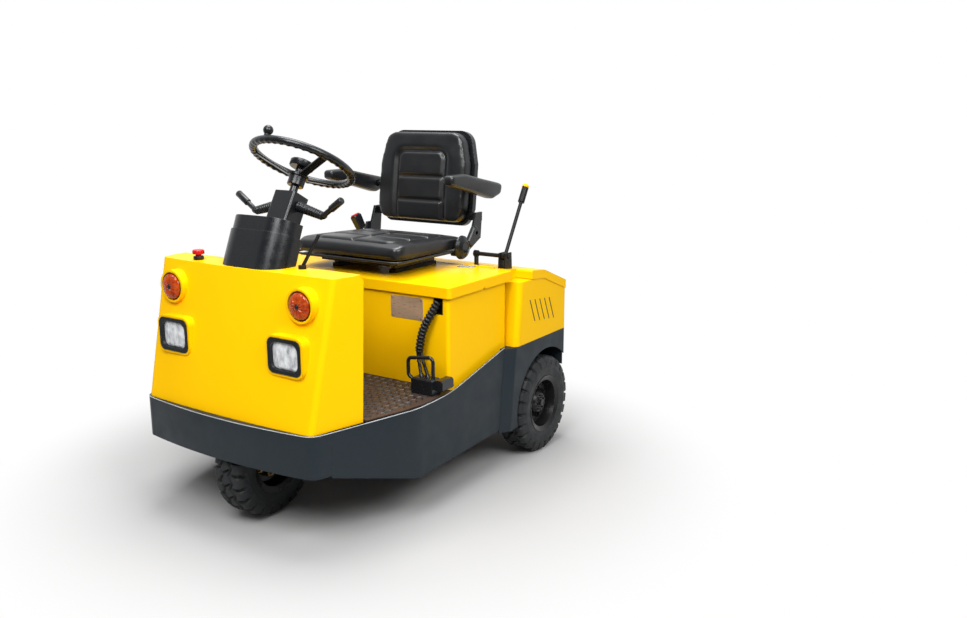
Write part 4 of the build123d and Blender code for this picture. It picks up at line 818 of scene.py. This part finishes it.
# Lid hinge leaves with their screws
LID_TOP_Z = 771.0
for side, tag in SIDES:
    leaf_origin = P(207, side * 297, LID_TOP_Z)
    leaf = rounded_loop(42, 66, 4)
    leaf_loops = [(leaf, 0.0), (leaf, 1.4), (rounded_loop(40.6, 64.6, 3.4), 1.9)]
    stacked_piece(f"hinge_leaf_{tag}", leaf_origin, (X, Y, Z), leaf_loops, steel, "battery_lid")
    screws = [leaf_origin + X * (a * 0.011) + Y * (b * 0.022) + Z * 0.0018
              for a in (-1, 1) for b in (-1, 0, 1)]
    bolt_ring(f"hinge_screws_{tag}", screws, Z, SCREW, steel, "battery_lid")

# Coloured end of the parking lever's grip
grip_low, grip_high = P(20, 430, 1014), P(-14, 430, 1071)
grip_run = (grip_high - grip_low).normalized()
cap_radii = [0.0137, 0.0139, 0.0139, 0.0138, 0.0136, 0.0132, 0.0124, 0.011, 0.0085, 0.004]
cap_points = [grip_high - grip_run * 0.004 + grip_run * 0.0016 * k for k in range(len(cap_radii))]
tube_piece("lever_grip_end", cap_points, cap_radii, paint, "chassis")

# Belt buckle on the seat's right side
buckle_origin = P(186, -264, 907)
buckle_lean = Vector((0.25, -0.30, 0.92)).normalized()
buckle_side = (Y - buckle_lean * buckle_lean.y).normalized()
buckle_axes = (buckle_side, buckle_lean.cross(buckle_side), buckle_lean)
buckle_loops = [(rounded_loop(24, 30, 4), -34), (rounded_loop(30, 38, 6), -28), (rounded_loop(34, 42, 7), 24),
                (rounded_loop(30, 38, 7), 30)]
stacked_piece("belt_buckle", buckle_origin, buckle_axes, buckle_loops, plastic, "seat")
button = rounded_loop(24, 32, 4)
button_loops = [(button, -14), (button, 3.0), (rounded_loop(20, 28, 4), 4.5)]
stacked_piece("belt_buckle_button", buckle_origin + buckle_lean * 0.03, buckle_axes, button_loops, red,
              "seat")

# Recliner knob, cover and bracket on the seat's left side
bolt_ring("recliner_knob", [P(116, 269.8, 892)], Y, RECLINER_KNOB, plastic, "seat")
COVER_RINGS = ((47, 0.0), (46, 6.0), (40, 14.0), (24, 21.0), (22, 21.5), (20, 19.5))
cover_loops = [(circle(r), h) for r, h in COVER_RINGS]
stacked_piece("recliner_cover", P(196, 266.0, 842), (X, -Z, Y), cover_loops, plastic, "seat")
bracket_axes = (Vector((-0.62, 0.0, 0.785)), Vector((0.785, 0.0, 0.62)), Y)
bracket = rounded_loop(86, 44, 14)
bracket_loops = [(bracket, 0.0), (bracket, 11.0), (rounded_loop(76, 34, 10), 16.0)]
stacked_piece("recliner_bracket", P(134, 269.8, 879), bracket_axes, bracket_loops, plastic, "seat")

# Rounded piping round the cushion's lower edge
PIPING_R = 0.0042
loop = [P(CUSHION_X + a, b, CUSHION_LOW_Z + 4.5) for a, b in rounded_loop(451, 518, 47, 12)]
loop, _ = even_points(loop + loop[:1], 0.008)
loop = loop[:-1]
tube_piece("cushion_piping", loop, [PIPING_R] * len(loop), piping_look, "seat", 10, True)

# Steering wheel with finger waves under its rim, flat spokes, horn cap and spinner knob
WHEEL_TILT = math.radians(29.0)
RIM_RING_R, RIM_R, RIM_STEPS = 174, 0.0145, 240
RIM_WAVES, RIM_WAVE_DEPTH = 21, 0.0030
KNOB_R, KNOB_STEM_R, KNOB_Z = 17, 9.0, 34
wheel_mid = P(773, 0, 1187)
wheel_ahead = Vector((math.cos(WHEEL_TILT), 0, math.sin(WHEEL_TILT)))
wheel_up = Vector((-math.sin(WHEEL_TILT), 0, math.cos(WHEEL_TILT)))
wheel_axes = (wheel_ahead, Y, wheel_up)


def on_wheel(angle, radius, height):
    outward = wheel_ahead * math.cos(angle) + Y * math.sin(angle)
    return wheel_mid + outward * (radius / 1000) + wheel_up * (height / 1000)


rim_points = [on_wheel(2 * math.pi * k / RIM_STEPS, RIM_RING_R, 0) for k in range(RIM_STEPS)]
rim_ring = tube_mesh("rim_ring", rim_points, [RIM_R] * RIM_STEPS, 20, True)
for v in rim_ring.vertices:
    off = v.co - wheel_mid
    low = max(0.0, -off.dot(wheel_up) / RIM_R)
    angle = math.atan2(off.y, off.dot(wheel_ahead))
    v.co += wheel_up * (RIM_WAVE_DEPTH * low * abs(math.sin(RIM_WAVES * angle)))
wheel_meshes = [rim_ring]
HUB_RINGS = [(39, 4), (42, 1), (42, -17), (40, -20), (16, -20.5), (16, -43.5), (34, -44), (36, -46),
             (36, -54), (29, -54.5), (29, -85), (27, -87)]
hub_loops = [(circle(radius), height) for radius, height in HUB_RINGS]
wheel_meshes.append(stacked("hub", wheel_mid, *wheel_axes, hub_loops))
for angle in (-62, 68, 180):
    foot, end = on_wheel(math.radians(angle), 22, -52), on_wheel(math.radians(angle), 172, -3)
    along = (end - foot).normalized()
    wide = wheel_up.cross(along).normalized()
    bar = [(rounded_loop(28, 8, 3), 0.0), (rounded_loop(28, 8, 3), (end - foot).length * 1000)]
    wheel_meshes.append(stacked("spoke", foot, wide, along.cross(wide), along, bar))
knob_loops = [(circle(KNOB_STEM_R), 0.0)]
for k in range(1, 12):
    lean_angle = math.pi * k / 12
    knob_ring = max(KNOB_STEM_R if k == 1 else 0.5, KNOB_R * math.sin(lean_angle))
    knob_loops.append((circle(knob_ring), KNOB_Z - KNOB_R * math.cos(lean_angle)))
wheel_meshes.append(stacked("knob", on_wheel(math.radians(-6), RIM_RING_R, 0), *wheel_axes, knob_loops))
wheel_form = add_piece("steering_wheel_form", joined("steering_wheel_form", wheel_meshes), plastic,
                       "steering_wheel")
wheel_form.data.set_sharp_from_angle(angle=SHARP_ANGLE)
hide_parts("steering_wheel")

# Column levers on the part's own line, with finely ribbed boots
BOOT_STEPS, BOOT_RIBS = 72, 11
GRIP_RINGS = ((-0.08, 8), (0.0, 12), (0.08, 12), (0.12, 9), (0.44, 9), (0.45, 12.5), (0.97, 12.5), (1.0, 10))
for side, tag in SIDES:
    root = wheel_mid - wheel_up * 0.16 + Y * (side * 0.047)
    elbow = root + Vector((0, side * 0.110, -0.026))
    tip = root + Vector((0, side * 0.196, 0.032))
    boot, boot_r = [], []
    for k in range(BOOT_STEPS + 1):
        share = k / BOOT_STEPS
        rib = 1 - abs(math.sin(BOOT_RIBS * math.pi * share)) ** 0.7
        boot.append(root.lerp(elbow, share))
        boot_r.append(0.0188 - 0.0040 * share - 0.0042 * rib)
    grip = [elbow.lerp(tip, share) for share, _ in GRIP_RINGS]
    grip_r = [radius / 1000 for _, radius in GRIP_RINGS]
    lever_meshes = [tube_mesh("boot", boot, boot_r, 24), tube_mesh("grip", grip, grip_r, 24)]
    name = f"column_lever_{tag}"
    lever = add_piece(name, joined(name, lever_meshes), plastic, "chassis")
    lever.data.set_sharp_from_angle(angle=SHARP_ANGLE)
    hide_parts("column_levers")

# Painted highlight: a light grey tube along the skirt's top edge, from the left rear round the front to the
# right rear
EDGE_R, BAND_Z = 0.0016, 395
BOW_Y, BOW_X, BOW_DEPTH = 352, 1217, 27
edge = [(250, 498, 483), (395, 498, 449.5), (540, 498, 416), (580, 498, 408), (620, 498, 402.5),
        (660, 498, 399.6), (700, 498, 398), (775, 498, 397.5), (800, 495.4, 397.3), (825, 490.9, 397.1),
        (960, 452.7, 396), (1120, 407.5, BAND_Z), (1150, 399, BAND_Z), (1165, 393.6, BAND_Z),
        (1176, 386, BAND_Z), (1185.5, 372, BAND_Z), (1190, BOW_Y, BAND_Z)]
for k in range(1, 13):
    y = BOW_Y - BOW_Y * k / 12
    edge.append((BOW_X - BOW_DEPTH * (y / BOW_Y) ** 2, y, BAND_Z))
edge = edge + [(px, -py, pz) for px, py, pz in reversed(edge[:-1])]
edge_points, _ = even_points([P(*place) for place in edge], 0.012)
tube_piece("skirt_edge", edge_points, [EDGE_R] * len(edge_points), edge_highlight_look, "chassis", 8)

# Painted shade: dark slabs in the louvre slots stand for the shade inside them
LOUVRES, LOUVRE_X, LOUVRE_Z = 5, 106.0, 646.0
LOUVRE_STEP_X, LOUVRE_STEP_Z = 38.5, 4.0
LOUVRE_LEAN, LOUVRE_HIGH, LOUVRE_WIDE = 41.0, 92.0, 7.0
LOUVRE_BACK_Y, LOUVRE_FRONT_Y = 519.2, 522.3
for side, tag in SIDES:
    bm = bmesh.new()
    for slot in range(LOUVRES):
        top_x, top_z = LOUVRE_X - LOUVRE_STEP_X * slot, LOUVRE_Z - LOUVRE_STEP_Z * slot
        low_x, low_z = top_x - LOUVRE_LEAN, top_z - LOUVRE_HIGH
        outline = [(top_x, top_z), (low_x, low_z), (low_x - LOUVRE_WIDE, low_z), (top_x - LOUVRE_WIDE, top_z)]
        back, front = ([bm.verts.new(P(px, side * y, pz)) for px, pz in outline]
                       for y in (LOUVRE_BACK_Y, LOUVRE_FRONT_Y))
        bm.faces.new(front)
        bm.faces.new(back)
        for k in range(4):
            bm.faces.new((back[k], back[(k + 1) % 4], front[(k + 1) % 4], front[k]))
    name = f"louvre_shade_slabs_{tag}"
    add_piece(name, mesh_from_bm(name, bm), black_paint, "chassis", False)

# Black collar under the red stop button
collar_loops = [(circle(r, 32), h) for r, h in ((17.5, 0.0), (18.0, 2.5), (18.0, 11.0), (16.0, 13.0))]
stacked_piece("stop_collar", P(1040, -245, 866), (X, Y, Z), collar_loops, plastic, "chassis")

# Floor, world and lights
WHITE = (1.0, 1.0, 1.0, 1.0)
FLOOR_REACH, FLOOR_STEPS = 1.9, 128
FADE_FROM, FADE_TO = 0.7, 1.45
SOFT_LIGHT = 0.2

# The floor takes the shadow near the tractor on a grey, painted darker to deepen that shadow, and fades to
# plain white further out
floor_look = bpy.data.materials.new("studio_floor")
floor_look.use_nodes = True
tree = floor_look.node_tree
surface = tree.nodes["Principled BSDF"]
feed(tree, surface, {"Base Color": (0.45, 0.45, 0.45, 1.0), "Roughness": 0.9, "Specular IOR Level": 0.1})
glow = tree_node(tree, "ShaderNodeEmission")
coords = tree_node(tree, "ShaderNodeTexCoord")
reach = tree_node(tree, "ShaderNodeVectorMath", {0: coords.outputs["Object"]}, operation="LENGTH")
fade = tree_node(tree, "ShaderNodeMapRange", interpolation_type="SMOOTHSTEP")
feed(tree, fade, {"From Min": FADE_FROM, "From Max": FADE_TO, "Value": reach.outputs["Value"]})
blend = tree_node(tree, "ShaderNodeMixShader",
                  {0: fade.outputs["Result"], 1: surface.outputs[0], 2: glow.outputs[0]})
feed(tree, tree.nodes["Material Output"], {"Surface": blend.outputs[0]})
turns = [2 * math.pi * k / FLOOR_STEPS for k in range(FLOOR_STEPS)]
floor_rim = [(FLOOR_REACH * math.cos(t), FLOOR_REACH * math.sin(t), 0.0) for t in turns]
floor_mesh = mesh_from("studio_floor", floor_rim, [tuple(range(FLOOR_STEPS))])
floor_mesh.materials.append(floor_look)
floor = bpy.data.objects.new("studio_floor", floor_mesh)
scene.collection.objects.link(floor)

# The camera sees white; mirrored in the tractor, the room is brighter behind it than in front
world = bpy.data.worlds.new("studio")
scene.world = world
world.use_nodes = True
tree = world.node_tree
soft = tree.nodes["Background"]
feed(tree, soft, {"Color": WHITE, "Strength": SOFT_LIGHT})
white = tree_node(tree, "ShaderNodeBackground", {"Color": WHITE})
path = tree_node(tree, "ShaderNodeLightPath")
seen = tree_node(tree, "ShaderNodeMath", operation="MAXIMUM",
                 inputs={0: path.outputs["Is Camera Ray"], 1: path.outputs["Is Transmission Ray"]})
ray = tree_node(tree, "ShaderNodeTexCoord").outputs["Generated"]
facing = tree_node(tree, "ShaderNodeVectorMath", operation="DOT_PRODUCT",
                   inputs={0: ray, 1: (-math.cos(yaw), -math.sin(yaw), 0.25)})
behind = tree_node(tree, "ShaderNodeMapRange", {"From Min": -0.3, "From Max": 0.5, "To Min": 0.15,
                                                "Value": facing.outputs["Value"]})
backdrop = tree_node(tree, "ShaderNodeBackground", {"Color": WHITE, "Strength": behind.outputs["Result"]})
mirror_view = tree_node(tree, "ShaderNodeMixShader", {0: path.outputs["Is Glossy Ray"], 1: soft.outputs[0],
                                                      2: backdrop.outputs[0]})
choose = tree_node(tree, "ShaderNodeMixShader",
                   {0: seen.outputs[0], 1: mirror_view.outputs[0], 2: white.outputs[0]})
feed(tree, tree.nodes["World Output"], {"Surface": choose.outputs[0]})


def area_light(name, place, target, size, energy):
    data = bpy.data.lights.new(name, "AREA")
    data.shape = "DISK"
    data.size = size
    data.energy = energy
    lamp = bpy.data.objects.new(name, data)
    lamp.location = place
    lamp.rotation_euler = (Vector(target) - Vector(place)).to_track_quat("-Z", "Y").to_euler()
    scene.collection.objects.link(lamp)


area_light("front", (2.7, 0.9, 3.4), (0.2, 0.0, 0.5), 2.2, 130.0)
area_light("left", (0.9, 3.1, 2.9), (0.0, 0.0, 0.5), 2.0, 96.0)
area_light("overhead", (-0.4, -0.3, 4.2), (0.0, 0.0, 0.3), 2.4, 130.0)
